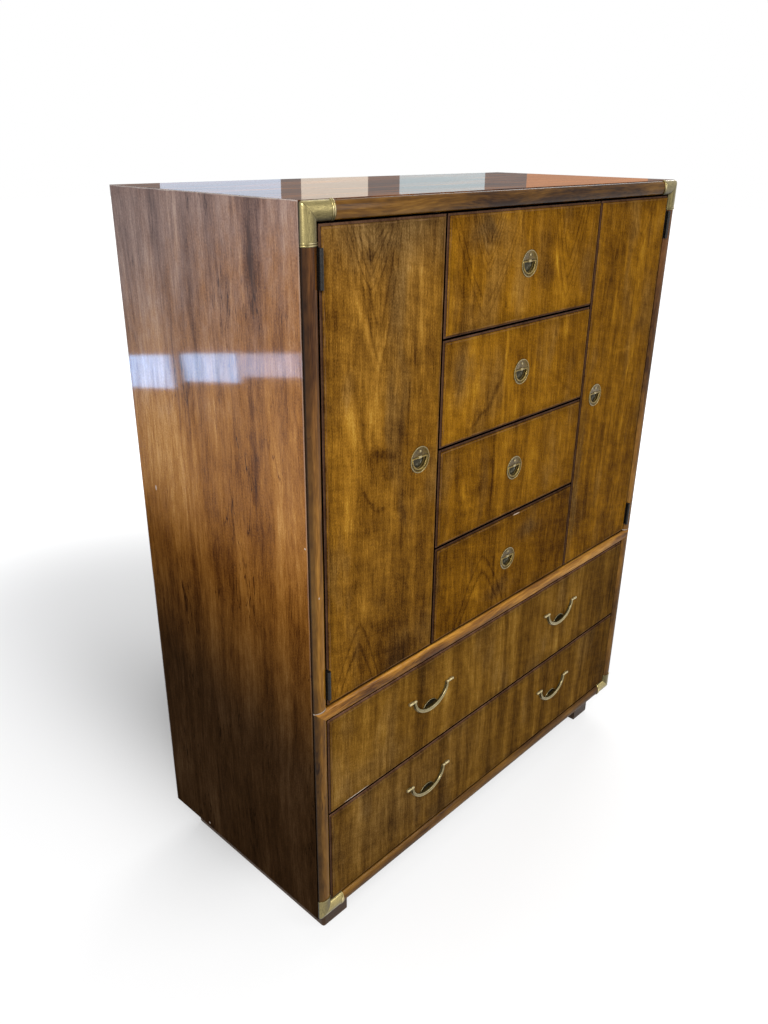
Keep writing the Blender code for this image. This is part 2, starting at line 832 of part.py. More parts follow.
def bail_mesh():
    """A crescent bail about its pins' axis, widest and flattest in the middle."""
    points = []
    radii = []
    start = math.asin(bail_bend / bail_drop)
    for step in range(bail_steps + 1):
        angle = start + (math.pi - 2 * start) * step / bail_steps
        points.append((bail_half_span * math.cos(angle), 0, -bail_drop * math.sin(angle)))
        radii.append(bail_end_radius + (bail_middle_radius - bail_end_radius) * math.sin(angle))
    bend_x = bail_half_span + bail_bend
    pin_end = ear_inner + ear_pin_length
    bend = []
    for step in (1, 2):
        angle = math.radians(90) * step / 3
        bend.append((bend_x - bail_bend * math.cos(angle), -bail_bend + bail_bend * math.sin(angle)))
    tail = bend + [(bend_x, 0.0), (pin_end, 0.0)]
    tail_radii = [bail_end_radius, bail_pin_radius, bail_pin_radius, bail_pin_radius]
    left = [(-x, 0, z) for x, z in tail]
    right = [(x, 0, z) for x, z in reversed(tail)]
    mesh = tube_mesh("crescent_bail", right + points + left, tail_radii[::-1] + radii + tail_radii, False)
    for vertex in mesh.vertices:
        sunk = min(max(-vertex.co.z / bail_drop, 0.0), 1.0)
        vertex.co.y *= 1 - bail_flattening * sunk
    return mesh


def crescent_cup_rim_line(inner_half):
    """The part of the cup's rim that stands above the crescent's inner edge."""
    rim_half = crescent_cup_half_width + crescent_cup_rim
    rim_height = crescent_cup_height + crescent_cup_rim
    line = []
    for x, z in half_ellipse(rim_half, rim_height, -crescent_cup_drop):
        edge = -crescent_inner_drop * math.sqrt(1 - (x / inner_half) ** 2)
        if z > edge + 0.0005:
            line.append((x, z))
    return line


def crescent_outline():
    """Outline of the crescent plate about the bail's pivot, with the cup's rim on its inner edge."""
    outer_half = bail_half_span + crescent_margin
    inner_half = bail_half_span - crescent_margin
    tab = crescent_tab_half_height
    start = math.asin(tab / crescent_outer_drop)
    points = [(ear_outer, tab), (ear_outer, -tab)]
    for step in range(bail_steps + 1):
        angle = start + (math.pi - 2 * start) * step / bail_steps
        points.append((outer_half * math.cos(angle), -crescent_outer_drop * math.sin(angle)))
    points += [(-ear_outer, -tab), (-ear_outer, tab), (-inner_half, tab)]
    rim = crescent_cup_rim_line(inner_half)
    meet = math.acos(rim[0][0] / inner_half)
    side = []
    for step in range(arc_steps // 2 + 1):
        angle = meet * step / (arc_steps // 2)
        side.append((inner_half * math.cos(angle), -crescent_inner_drop * math.sin(angle)))
    points += [(-x, z) for x, z in side]
    points += rim[::-1]
    points += side[::-1]
    points += [(inner_half, tab)]
    return points


def crescent_plate_mesh():
    """The crescent plate with its sunk cup and the two ears that carry the bail's pins."""
    near = -joint - crescent_proud
    plate = bpy.data.objects.new("crescent", outline_mesh("crescent", crescent_outline(), near, -joint))
    half_plate = (near - joint) / 2
    steps = [
        (outline_guide("crescent_cup", crescent_cup_outline(cup_wall), half_plate, cup_depth + cup_wall), "UNION"),
        (outline_guide("crescent_hollow", crescent_cup_outline(0.0), -overrun, cup_depth), "DIFFERENCE"),
    ]
    for side in (-1, 1):
        ends = sorted((side * ear_inner, side * ear_outer))
        ear = board_guide(
            f"crescent_ear_{side}",
            (ends[0], -bail_stand - ear_half_height, -ear_half_height),
            (ends[1], half_plate, ear_half_height),
        )
        pin_hole = cylinder_mesh(
            "ear_bore", bail_pin_radius + ear_play, 2 * (ear_pin_length + ear_play), barrel_sides, (1, 0, 0)
        )
        bore = add_guide(f"crescent_bore_{side}", pin_hole, (side * ear_inner, -bail_stand, 0))
        steps += [(ear, "UNION"), (bore, "DIFFERENCE")]
    return carved_mesh("crescent_plate", plate, steps)


def add_ring_pull(name, board, x, centre_z, parent, meshes):
    """Plate, ring and pocket of one ring pull."""
    pivot = Vector((x, front_y, centre_z + ring_pivot_above_centre))
    cup_pocket(board, ring_pan_outline(cup_wall + joint), pan_floor, pivot, "pan")
    cup_pocket(board, ring_cup_outline(cup_wall + joint), cup_depth, pivot, "cup")
    add_part(name + "_pull_plate", meshes["ring_plate"], pivot, brass, parent)
    axis = add_empty(name + "_ring_axis", pivot - Vector((0, ring_stand, 0)), parent)
    add_part(name + "_pull_ring", meshes["ring"], pivot - Vector((0, ring_stand, 0)), brass, axis)


def add_crescent_pull(name, board, x, centre_z, parent, meshes):
    """Plate, bail and pocket of one crescent pull."""
    pivot = Vector((x, front_y, centre_z + pivot_above_centre))
    cup_pocket(board, crescent_cup_outline(cup_wall + joint), cup_depth, pivot, f"{x:.2f}")
    add_part(name + "_pull_plate", meshes["crescent_plate"], pivot, brass, parent)
    axis = add_empty(name + "_bail_axis", pivot - Vector((0, bail_stand, 0)), parent)
    add_part(name + "_bail", meshes["bail"], pivot - Vector((0, bail_stand, 0)), brass, axis)


def add_door(name, side, meshes):
    axis = add_empty(name + "_hinge_axis", hinge_axis(side))
    middle_x = side * (door_outer_x + door_inner_x) / 2
    middle_z = upper_bottom + door_height / 2
    mesh = raised_front_mesh(name, door_width, door_height)
    door = add_part(name, mesh, (middle_x, front_y, middle_z), veneer, axis)
    for place_name, height in zip(("upper", "lower"), hinge_heights()):
        shape(door, mortise_guide(f"{name}_mortise", side, height, door_outer_x), "DIFFERENCE")
        spot = hinge_axis(side) + Vector((0, 0, height))
        turn = (0, math.radians(180) if side > 0 else 0, 0)
        frame_leaf = add_part(f"{name}_{place_name}_frame_leaf", meshes["frame_leaf"], spot, steel)
        frame_leaf.rotation_euler = turn
        door_leaf = add_part(f"{name}_{place_name}_door_leaf", meshes["door_leaf"], spot, steel, axis)
        door_leaf.rotation_euler = turn
    pull_x = side * (door_inner_x + door_pull_inset)
    add_ring_pull(name, door, pull_x, middle_z, axis, meshes)


def add_small_drawer(number, meshes):
    name = f"drawer_{number}"
    height = small_drawer_heights[number - 1]
    bottom = small_drawer_bottom(number)
    middle_z = bottom + height / 2
    slide = add_empty(name + "_slide", (0, front_y, middle_z))
    mesh = raised_front_mesh(name + "_front", small_drawer_width, height)
    front = add_part(name + "_front", mesh, (0, front_y, middle_z), veneer, slide)
    half_width = partition_inner_x - box_side_space
    box_part(name + "_box", half_width, bottom - reveal + slide_gap, height - box_top_space, slide)
    add_ring_pull(name, front, 0, middle_z + small_pull_rise, slide, meshes)


def add_long_drawer(number, bottom, seat, meshes):
    name = f"long_drawer_{number}"
    middle_z = bottom + long_drawer_height / 2
    slide = add_empty(name + "_slide", (0, front_y, middle_z))
    width = 2 * (stile_x - reveal)
    mesh = raised_front_mesh(name + "_front", width, long_drawer_height)
    front = add_part(name + "_front", mesh, (0, front_y, middle_z), veneer, slide)
    half_width = stile_x - brass_reach - box_side_space
    box_part(name + "_box", half_width, seat + slide_gap, long_drawer_height - box_top_space, slide)
    for side_name, side in (("left", -1), ("right", 1)):
        add_crescent_pull(f"{name}_{side_name}", front, side * partition_x, middle_z, slide, meshes)


def build():
    side_panel("left_side_panel", -1)
    side_panel("right_side_panel", 1)
    top_panel()
    back_panel()
    middle_deck()
    bottom_deck()
    partition("left_partition", -1)
    partition("right_partition", 1)
    base_frame()
    top_rail()
    upper_stile("upper_left_stile", -1)
    upper_stile("upper_right_stile", 1)
    lower_stile("lower_left_stile", -1)
    lower_stile("lower_right_stile", 1)
    brass_corners()
    frame_knuckles = range(0, knuckle_count, 2)
    door_knuckles = range(1, knuckle_count, 2)
    meshes = {
        "frame_leaf": hinge_leaf_mesh("frame_leaf", -1, frame_knuckles),
        "door_leaf": hinge_leaf_mesh("door_leaf", 1, door_knuckles),
        "ring_plate": ring_pull_plate_mesh(),
        "ring": ring_mesh(),
        "crescent_plate": crescent_plate_mesh(),
        "bail": bail_mesh(),
    }
    add_door("left_door", -1, meshes)
    add_door("right_door", 1, meshes)
    for number in range(1, small_count + 1):
        add_small_drawer(number, meshes)
    add_long_drawer(1, long_1_bottom, long_1_bottom - reveal, meshes)
    add_long_drawer(2, long_2_bottom, bottom_rail_top + deck_rise, meshes)


build()
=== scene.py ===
"""Dresses the gentleman's chest: lacquered veneers, mouldings, aged brass pulls and corners."""

import json
import math

import bmesh
import bpy
from mathutils import Matrix, Vector

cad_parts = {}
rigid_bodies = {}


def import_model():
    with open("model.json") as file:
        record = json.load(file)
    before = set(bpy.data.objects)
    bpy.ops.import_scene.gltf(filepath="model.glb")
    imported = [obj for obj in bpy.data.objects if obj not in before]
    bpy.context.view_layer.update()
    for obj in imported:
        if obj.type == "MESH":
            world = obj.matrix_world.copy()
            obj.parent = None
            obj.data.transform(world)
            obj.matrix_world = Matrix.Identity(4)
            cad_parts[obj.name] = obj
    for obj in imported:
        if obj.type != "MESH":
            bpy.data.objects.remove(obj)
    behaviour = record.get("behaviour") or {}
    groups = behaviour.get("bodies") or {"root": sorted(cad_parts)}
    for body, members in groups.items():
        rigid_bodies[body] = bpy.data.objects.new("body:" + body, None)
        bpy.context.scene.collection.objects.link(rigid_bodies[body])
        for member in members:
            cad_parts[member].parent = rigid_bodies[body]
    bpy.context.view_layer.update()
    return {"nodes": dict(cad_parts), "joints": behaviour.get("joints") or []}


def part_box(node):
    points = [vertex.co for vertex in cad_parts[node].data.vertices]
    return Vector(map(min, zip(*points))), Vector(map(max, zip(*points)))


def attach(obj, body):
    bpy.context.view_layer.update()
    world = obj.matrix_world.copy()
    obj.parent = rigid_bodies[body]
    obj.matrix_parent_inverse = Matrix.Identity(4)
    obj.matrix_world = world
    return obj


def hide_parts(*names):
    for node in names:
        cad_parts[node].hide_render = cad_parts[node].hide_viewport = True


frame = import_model()
nodes = frame["nodes"]

# Sizes read off the frame
case_low, case_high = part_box("left_side_panel")
side_x = -case_low.x
case_bottom = case_low.z
case_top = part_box("top_panel")[1].z
back_y = case_high.y
front_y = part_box("drawer_1_front")[0].y
middle_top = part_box("middle_deck")[1].z
middle_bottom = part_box("middle_deck")[0].z
stile_x = -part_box("upper_left_stile")[1].x
frame_width = side_x - stile_x

crown_proud = 0.003
crown_edge = 0.004
frame_inset = 0.0015
shoulder = 0.006
gap = 0.0003


class Value:
    """A shader socket that takes part in sums: each sum adds the Math node that it needs."""

    def __init__(self, graph, socket):
        self.graph = graph
        self.socket = socket

    def math(self, operation, *others):
        return self.graph.math(operation, self, *others)

    def least(self, other):
        return self.math("MINIMUM", other)

    def size(self):
        return self.math("ABSOLUTE")

    def __add__(self, other):
        return self.math("ADD", other)

    def __sub__(self, other):
        return self.math("SUBTRACT", other)

    def __rsub__(self, other):
        return self.graph.math("SUBTRACT", other, self)

    def __mul__(self, other):
        return self.math("MULTIPLY", other)

    def __truediv__(self, other):
        return self.math("DIVIDE", other)

    def __pow__(self, other):
        return self.math("POWER", other)

    def __neg__(self):
        return self.math("MULTIPLY", -1.0)

    __radd__ = __add__
    __rmul__ = __mul__


class Graph:
    """The node tree of one material, with its Principled shader."""

    def __init__(self, name):
        self.material = bpy.data.materials.new(name)
        self.material.use_nodes = True
        self.tree = self.material.node_tree
        self.shader = self.tree.nodes["Principled BSDF"]
        self.output = self.tree.nodes["Material Output"]

    def node(self, kind, settings=None, inputs=None, output=0):
        node = self.tree.nodes.new("ShaderNode" + kind)
        for key, value in (settings or {}).items():
            if key == "stops":
                self.fill_ramp(node.color_ramp, value)
            else:
                setattr(node, key, value)
        for key, value in (inputs or {}).items():
            self.feed(node.inputs[key], value)
        return Value(self, node.outputs[output])

    def fill_ramp(self, ramp, stops):
        while len(ramp.elements) < len(stops):
            ramp.elements.new(1.0)
        for element, (place, colour) in zip(ramp.elements, stops):
            element.position = place
            element.color = (*colour, 1.0)

    def feed(self, socket, value):
        if isinstance(value, Value):
            self.tree.links.new(value.socket, socket)
        else:
            socket.default_value = value

    def set(self, **sockets):
        for name, value in sockets.items():
            self.feed(self.shader.inputs[name.replace("_", " ")], value)

    def math(self, operation, *values):
        return self.node("Math", {"operation": operation}, dict(enumerate(values)))

    def place(self):
        """X, Y and Z of the point, in the chest's own metres."""
        split = self.node("SeparateXYZ", None, {0: self.node("TexCoord", None, None, "Object")})
        outputs = split.socket.node.outputs
        return [Value(self, outputs[axis]) for axis in range(3)]

    def noise(self, u, v, w, detail=2.0, rough=0.5):
        spot = self.node("CombineXYZ", None, {0: u, 1: v, 2: w})
        inputs = {"Vector": spot, "Scale": 1.0, "Detail": detail, "Roughness": rough}
        return self.node("TexNoise", None, inputs)

    def ease(self, value, low, high):
        """0 below low and 1 above high, with a smooth step between them."""
        inputs = {"Value": value, "From Min": low, "From Max": high}
        return self.node("MapRange", {"interpolation_type": "SMOOTHSTEP"}, inputs)

    def ramp(self, value, stops):
        return self.node("ValToRGB", {"stops": stops}, {"Fac": value})

    def mix(self, share, first, second):
        """The first colour where share is 0, and the second where it is 1."""
        return self.node("Mix", {"data_type": "RGBA"}, {0: share, 6: first, 7: second}, 2)

    def fade(self, value, low, high):
        """1 below low and 0 above high."""
        return 1.0 - self.ease(value, low, high)

    def chip(self, u, v, spot):
        """1 inside a small patch with a crisp outline."""
        return self.ease(patch(u, v, spot), 0.35, 0.60)

    def shade(self, colour, value):
        """A colour made darker or lighter by a number that changes over the surface."""
        grey = self.node("CombineXYZ", None, {0: value, 1: value, 2: value})
        return self.node("VectorMath", {"operation": "MULTIPLY"}, {0: colour, 1: grey})

    def bump(self, height, distance, strength=1.0):
        return self.node("Bump", None, {"Height": height, "Distance": distance, "Strength": strength})


# Wood
def patch(u, v, spot):
    """A soft light or dark patch: its middle, its two half sizes, its strength and its lean, if any."""
    x, z, wide, tall, strength, lean = (*spot, 0.0)[:6]
    across = (u - x - (v - z) * lean) / wide
    along = (v - z) / tall
    reach = across * across + along * along
    return (-reach).math("EXPONENT") * strength


def arch(graph, u, v, wobble, spot):
    """Nested growth lines, pointing down where length is above zero and up where it is below."""
    x, z, wide, length, lines, strength, lean = (*spot, 0.0)[:7]
    across = (u - x - (v - z) * lean) / wide
    height = (v - z) / length - across.size() ** 1.35
    inside = graph.ease(height, -0.10, 0.15) * graph.fade(height, 1.0, 1.6)
    rings = ((height + wobble * 0.5) * (lines * math.tau)).math("SINE") * 0.5 + 0.5
    return (rings ** 4.0 - 0.2) * inside * strength


class Figure:
    """The figure of a sliced veneer whose grain runs along v: numbers round zero, and lines from 0 to 1."""

    def __init__(self, graph, u, v, seed):
        drift = graph.noise(u * 4.0, v * 1.6, seed, 2.0) - 0.5
        self.wander = graph.noise(u * 22.0, v * 6.0, seed + 7.1, 3.0) - 0.5
        self.u = u + drift * 0.05 + self.wander * 0.009
        self.clouds = graph.noise(self.u * 15.0, v * 3.4, seed + 1.7, 4.0, 0.6) - 0.5
        self.bands = graph.noise(self.u * 32.0, v * 1.1, seed + 3.3, 3.0, 0.6) - 0.5
        self.streaks = graph.noise(self.u * 120.0, v * 7.0, seed + 5.7, 3.0, 0.65) - 0.5
        self.fibre = graph.noise(self.u * 460.0, v * 32.0, seed + 9.9, 2.0, 0.65) - 0.5
        self.grit = graph.noise(u * 560.0, v * 300.0, seed + 11.0, 2.0, 0.6) - 0.5
        self.pores = graph.ease(graph.noise(self.u * 1150.0, v * 60.0, seed + 2.2, 1.0), 0.60, 0.72)
        vein = graph.noise(self.u * 46.0, v * 4.0, seed + 17.0, 3.0, 0.6) - 0.5
        place = graph.noise(u * 10.0, v * 6.0, seed + 19.0, 2.0)
        self.cracks = graph.fade(vein.size(), 0.002, 0.014) * graph.ease(place, 0.50, 0.64)


front_tones = (
    (0.00, (0.024, 0.008, 0.0010)),
    (0.25, (0.095, 0.035, 0.0022)),
    (0.50, (0.235, 0.098, 0.0050)),
    (0.72, (0.400, 0.178, 0.0100)),
    (1.00, (0.600, 0.325, 0.0260)),
)
lower_tones = (
    (0.00, (0.024, 0.009, 0.0014)),
    (0.25, (0.085, 0.036, 0.0040)),
    (0.50, (0.182, 0.083, 0.0095)),
    (0.72, (0.300, 0.148, 0.0200)),
    (1.00, (0.510, 0.290, 0.0620)),
)
side_tones = (
    (0.00, (0.042, 0.011, 0.0016)),
    (0.25, (0.145, 0.046, 0.0062)),
    (0.50, (0.300, 0.112, 0.0150)),
    (0.72, (0.425, 0.178, 0.0300)),
    (1.00, (0.620, 0.315, 0.0850)),
)


def lacquer(graph, weight, rough, under=0.45):
    """A clear coat over the wood."""
    shader = graph.shader.inputs
    shader["Roughness"].default_value = under
    shader["Specular IOR Level"].default_value = 0.0
    shader["Coat Weight"].default_value = weight
    shader["Coat Roughness"].default_value = rough
    shader["Coat IOR"].default_value = 1.5


umber_tones = (
    (0.00, (0.018, 0.008, 0.0030)),
    (0.25, (0.062, 0.031, 0.0100)),
    (0.50, (0.150, 0.083, 0.0260)),
    (0.72, (0.270, 0.160, 0.0560)),
    (1.00, (0.480, 0.310, 0.1400)),
)


def front_veneer(node, seed, tones, lift, bands, calm):
    """Upright veneer on the raised field of a front, toned dark towards its edges, with a dark rim, painted
    shade in the rim, a pale edge line that is partly painted highlight, and umber clouds that are partly
    painted sheen.
    """
    graph = Graph(node + "_veneer")
    x, y, z = graph.place()
    low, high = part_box(node)
    grain = Figure(graph, x, z, seed)
    mottle = graph.noise(x * 34.0 + z * 10.0, z * 22.0, seed + 4.4, 4.0, 0.65) - 0.5
    curl = graph.noise(x * 20.0, z * 95.0 + x * 25.0, seed + 6.6, 2.0, 0.5) - 0.5
    tone = grain.clouds * (0.62 * calm) + grain.bands * (0.50 * bands) + grain.streaks * 0.44
    tone = tone + mottle * (0.46 * calm)
    tone = tone + grain.fibre * 0.52 + grain.grit * 0.62 + curl * 0.22 - grain.pores * 0.08
    tone = tone - grain.cracks * (0.10 * calm) + (0.50 + lift)
    for spot in patch_sets.get(node, ()):
        tone = tone + patch(x + grain.wander * 0.016, z + mottle * 0.03, spot)
    for spot in arch_sets.get(node, ()):
        tone = tone - arch(graph, x, z, grain.wander * 0.8 + mottle * 0.5 + grain.clouds * 0.3, spot)
    # Greyer umber clouds: partly a random tone of the finish, partly painted sheen where the sets place it,
    # as at the top of the left door.
    umber_and_sheen = graph.ease(graph.noise(x * 13.0, z * 5.0, seed + 8.8, 3.0), 0.50, 0.70) * 0.36
    for spot in umber_and_sheen_sets.get(node, ()):
        umber_and_sheen = umber_and_sheen + patch(x + mottle * 0.06, z + mottle * 0.06, spot)
    umber_and_sheen = umber_and_sheen.least(0.9)
    colour = graph.mix(umber_and_sheen, graph.ramp(tone, tones), graph.ramp(tone, umber_tones))
    inner = (x - low.x).least(high.x - x)
    inner = inner.least((z - low.z).least(high.z - z))
    burst = graph.ease(inner + mottle * 0.010, 0.003, 0.026) * 0.24 + 0.76
    colour = graph.shade(colour, burst)
    rim = graph.ease(y, front_y + 0.0008, front_y + 0.0016)
    rim_colour = graph.ramp(tone, ((0.2, (0.046, 0.020, 0.010)), (0.8, (0.150, 0.078, 0.044))))
    # Painted shade: the rim darkens towards the field's foot, where the raised field's step casts its shadow.
    step_shade = graph.fade(inner, 0.0038, 0.0048) * 0.85 + 0.15
    # Painted shade: the rim's outermost millimetre, beside the gap, goes dark.
    gap_shade_and_top_light = graph.ease(inner, 0.0003, 0.0010)
    # Painted light: the long drawers' top rim is made lighter, as if lit from above.
    if node.startswith("long"):
        gap_shade_and_top_light = gap_shade_and_top_light * (graph.ease(z, high.z - 0.0064, high.z - 0.0058) * 0.7 + 1.0)
    colour = graph.mix(rim, colour, graph.shade(rim_colour, step_shade * gap_shade_and_top_light))
    # Pale line along the field's edge: partly wear, partly painted highlight.
    wear_and_highlight = graph.fade((inner - 0.0064).size(), 0.0003, 0.0012) * (1.0 - rim)
    wear_and_highlight = wear_and_highlight * (graph.ease(graph.noise(x * 28.0, z * 28.0, seed, 3.0), 0.40, 0.66) * 0.7 + 0.2)
    colour = graph.mix(wear_and_highlight * 0.55, colour, (0.29, 0.16, 0.075, 1.0))
    for spot in chip_sets.get(node, ()):
        colour = graph.mix(graph.chip(x, z + mottle * 0.002, spot), colour, (0.62, 0.50, 0.40, 1.0))
    graph.set(Base_Color=colour)
    graph.set(Normal=graph.bump(grain.fibre * 0.5 - grain.pores - grain.cracks, 0.00012, 0.5))
    lacquer(graph, 0.03, 0.14)
    return graph.material


# Colours of a side panel's painted sheen at its top, and of its painted shade at its foot.
sheen_tones = ((0.1, (0.075, 0.052, 0.054)), (0.5, (0.180, 0.134, 0.138)), (0.9, (0.350, 0.275, 0.265)))
foot_shade_tones = ((0.1, (0.013, 0.006, 0.002)), (0.5, (0.034, 0.016, 0.006)), (0.9, (0.066, 0.035, 0.016)))


def panel_veneer(name, seed, foot_shade_share, chips):
    """Upright veneer of a side panel, with painted sheen over its top and painted shade towards its foot."""
    graph = Graph(name)
    place = graph.place()
    u = place[1]
    z = place[2]
    grain = Figure(graph, u, z, seed)
    mottle = graph.noise(u * 30.0, z * 16.0, seed + 4.4, 4.0, 0.68) - 0.5
    tone = grain.clouds * 0.75 + grain.bands * 0.70 + grain.streaks * 0.62 + grain.fibre * 0.60
    tone = tone + grain.grit * 0.62 + mottle * 0.50 - grain.pores * 0.10 - grain.cracks * 0.45 + 0.47
    for spot in side_spots:
        tone = tone + patch(u + grain.wander * 0.03, z, spot)
    colour = graph.ramp(tone, side_tones)
    # Painted sheen: a pale violet-grey reflection over the panel's upper part.
    painted_sheen = graph.ease(z + u * 0.35 + mottle * 0.35, 1.00, 1.42)
    colour = graph.mix(painted_sheen * 0.75, colour, graph.ramp(tone, sheen_tones))
    # Painted shade: the panel darkens towards its foot; depth is 1 high up and 0 at the foot.
    depth = graph.ease(z + grain.clouds * 0.07 - u * 0.10, 0.42, 0.96)
    colour = graph.mix((1.0 - depth) * foot_shade_share, colour, graph.ramp(tone, foot_shade_tones))
    front = place[1] - (front_y + shoulder)
    edge = (case_top - z).least(back_y - place[1])
    behind = graph.ease(place[1], back_y - 0.0007, back_y - 0.0002)
    # Pale line along the top and back edges: partly wear, partly painted highlight.
    wear_and_highlight = graph.fade(edge + mottle * 0.004, 0.0006, 0.0024) * (1.0 - behind)
    colour = graph.mix(wear_and_highlight * 0.55, colour, (0.62, 0.56, 0.52, 1.0))
    # Pale line along the front edge, fading out low down: partly wear, partly painted highlight.
    rubbed_highlight = graph.fade(front + mottle * 0.003, 0.0022, 0.0036) * depth
    colour = graph.mix(rubbed_highlight * 0.35, colour, (0.50, 0.36, 0.28, 1.0))
    for spot in chips:
        chip = graph.chip(front, z + mottle * 0.004, spot) * 0.8
        colour = graph.mix(chip, colour, (0.66, 0.56, 0.47, 1.0))
    # Painted shade: the panel's front strip beside the stile goes nearly black.
    seam_shade = graph.ease(front, 0.0002, 0.0010) * 0.94 + 0.06
    graph.set(Base_Color=graph.shade(colour, seam_shade))
    graph.set(Normal=graph.bump(grain.fibre * 0.4 - grain.pores - grain.cracks * 2.0, 0.00015, 0.5))
    lacquer(graph, 0.5, 0.055)
    gloss = (graph.ease(z, 0.72, 1.10) * 0.50 + 0.01) * (grain.streaks * 1.1 + grain.clouds * 0.9 + 1.0)
    graph.set(Coat_Weight=gloss)
    return graph.material


side_chips = (
    (0.006, 0.868, 0.0022, 0.0018, 1.0),
    (0.347, 0.089, 0.003, 0.0026, 1.0),
    (0.074, 0.07, 0.0026, 0.0022, 1.0),
    (0.423, 0.85, 0.0022, 0.006, 1.0),
)
side_spots = (
    (0.062, 1.33, 0.006, 0.14, 0.3, -0.05),
    (0.04, 1.25, 0.014, 0.16, -0.1),
    (-0.122, 1.29, 0.005, 0.06, -0.34),
    (-0.17, 0.9, 0.03, 0.12, 0.14),
    (0.15, 0.93, 0.1, 0.15, 0.4),
    (-0.095, 1.31, 0.006, 0.07, 0.24),
    (0.095, 1.05, 0.0025, 0.16, -0.26),
    (0.063, 1.0, 0.0025, 0.06, -0.22),
    (-0.105, 0.93, 0.0025, 0.035, -0.22),
    (-0.02, 0.96, 0.04, 0.12, 0.1),
    (0.14, 0.8, 0.04, 0.16, -0.08),
)


def top_veneer():
    """The mirror-like top, with its grain from side to side."""
    graph = Graph("top_veneer")
    x, y, z = graph.place()
    grain = Figure(graph, y, x, 40.0)
    tone = grain.clouds * 0.9 + grain.bands * 0.5 + grain.streaks * 0.4 + grain.fibre * 0.3
    tone = tone - grain.pores * 0.1 - grain.cracks * 0.2 + 0.12
    graph.set(Base_Color=graph.ramp(tone, side_tones))
    graph.set(Normal=graph.bump(graph.noise(x * 9.0, y * 9.0, 3.0, 2.0), 0.0006, 0.4))
    lacquer(graph, 0.19, 0.04)
    return graph.material


red_tones = ((0.15, (0.026, 0.008, 0.002)), (0.5, (0.100, 0.038, 0.009)), (0.9, (0.210, 0.088, 0.022)))
amber_tones = ((0.15, (0.045, 0.017, 0.003)), (0.5, (0.190, 0.082, 0.009)), (0.9, (0.380, 0.185, 0.028)))
stile_chip = (-0.520, 0.7805, 0.0016, 0.0020, 1.0)


def joint_wear_and_highlight(graph, colour, place, grain):
    """Pale line along the joint of the upper and lower stiles, partly wear and partly a painted highlight on
    the lower stile's top edge, and a small chip in the left one.
    """
    x, y, z = place
    joint = z - middle_top + x.size() * 0.10 - side_x * 0.10 + grain.wander * 0.004
    wear_and_highlight = graph.fade(joint.size(), 0.0007, 0.0017) + graph.chip(x, z, stile_chip)
    return graph.mix(wear_and_highlight.least(0.75), colour, (0.50, 0.42, 0.34, 1.0))


def moulding_wood(name, along, seed, gain):
    """Half-round moulding: straight grain along its length, redder or more amber from place to place, with
    painted shade on its flanks and, on the stiles, towards the outer edge and the bottom.
    """
    graph = Graph(name)
    place = graph.place()
    v = place[along]
    u = place[2 - along] + place[1]
    grain = Figure(graph, u, v, seed)
    tone = grain.clouds * 1.2 + grain.bands * 0.8 + grain.streaks * 0.9 + grain.fibre * 0.6 + 0.46
    tone = tone - grain.pores * 0.08 - grain.cracks * 0.15
    if along == 2:
        share = graph.fade(place[2] + grain.clouds * 0.3, 0.70, 1.25)
        # Painted shade across each stile's half-round, darker towards its outer edge, and darker towards the
        # bottom.
        inward = side_x - place[0].size()
        gain = gain * (graph.ease(inward, 0.004, 0.013) * 0.62 + 0.38)
        gain = gain * (graph.ease(place[2], 0.30, 0.56) * 0.3 + 0.7)
    else:
        share = graph.ease(grain.clouds, -0.25, 0.05)
    colour = graph.mix(share, graph.ramp(tone, red_tones), graph.ramp(tone, amber_tones))
    # Painted shade where the moulding lies back behind the edges of its crown.
    hollow = graph.ease(front_y + crown_edge - place[1], -0.0004, 0.0026) * 0.75 + 0.25
    colour = graph.shade(colour, hollow * gain)
    if along == 2:
        colour = joint_wear_and_highlight(graph, colour, place, grain)
    graph.set(Base_Color=colour)
    graph.set(Normal=graph.bump(grain.fibre * 0.5 - grain.pores, 0.00012, 0.4))
    lacquer(graph, 0.28, 0.10)
    return graph.material


def plain_wood(name, tones, upright, seed, rough=0.55):
    """Unpolished wood inside the case, and the base's dull finish, with upright or level grain."""
    graph = Graph(name)
    x, y, z = graph.place()
    if upright:
        grain = Figure(graph, x + y, z, seed)
    else:
        facing = graph.node("SeparateXYZ", None, {0: graph.node("TexCoord", None, None, "Normal")}, 2)
        level = graph.ease(facing.size(), 0.6, 0.8)
        grain = Figure(graph, z + (y - z) * level, x + y * (1.0 - level), seed)
    tone = grain.clouds * 0.5 + grain.bands * 0.7 + grain.streaks * 0.5 + grain.fibre * 0.5
    tone = tone - grain.pores * 0.15 + 0.5
    graph.set(Base_Color=graph.ramp(tone, tones))
    graph.set(Normal=graph.bump(grain.fibre - grain.pores, 0.0002, 0.5))
    graph.set(Roughness=grain.fibre * 0.2 + rough)
    graph.shader.inputs["Specular IOR Level"].default_value = 0.15
    return graph.material


pale_tones = ((0.1, (0.26, 0.16, 0.075)), (0.5, (0.44, 0.30, 0.16)), (0.9, (0.60, 0.44, 0.26)))
dark_tones = ((0.1, (0.018, 0.009, 0.004)), (0.5, (0.062, 0.031, 0.013)), (0.9, (0.145, 0.070, 0.030)))
back_tones = ((0.1, (0.10, 0.06, 0.03)), (0.5, (0.20, 0.125, 0.068)), (0.9, (0.32, 0.21, 0.12)))


# Metal
clean_brass = (0.235, 0.192, 0.086)
dull_brass = (0.120, 0.097, 0.044)


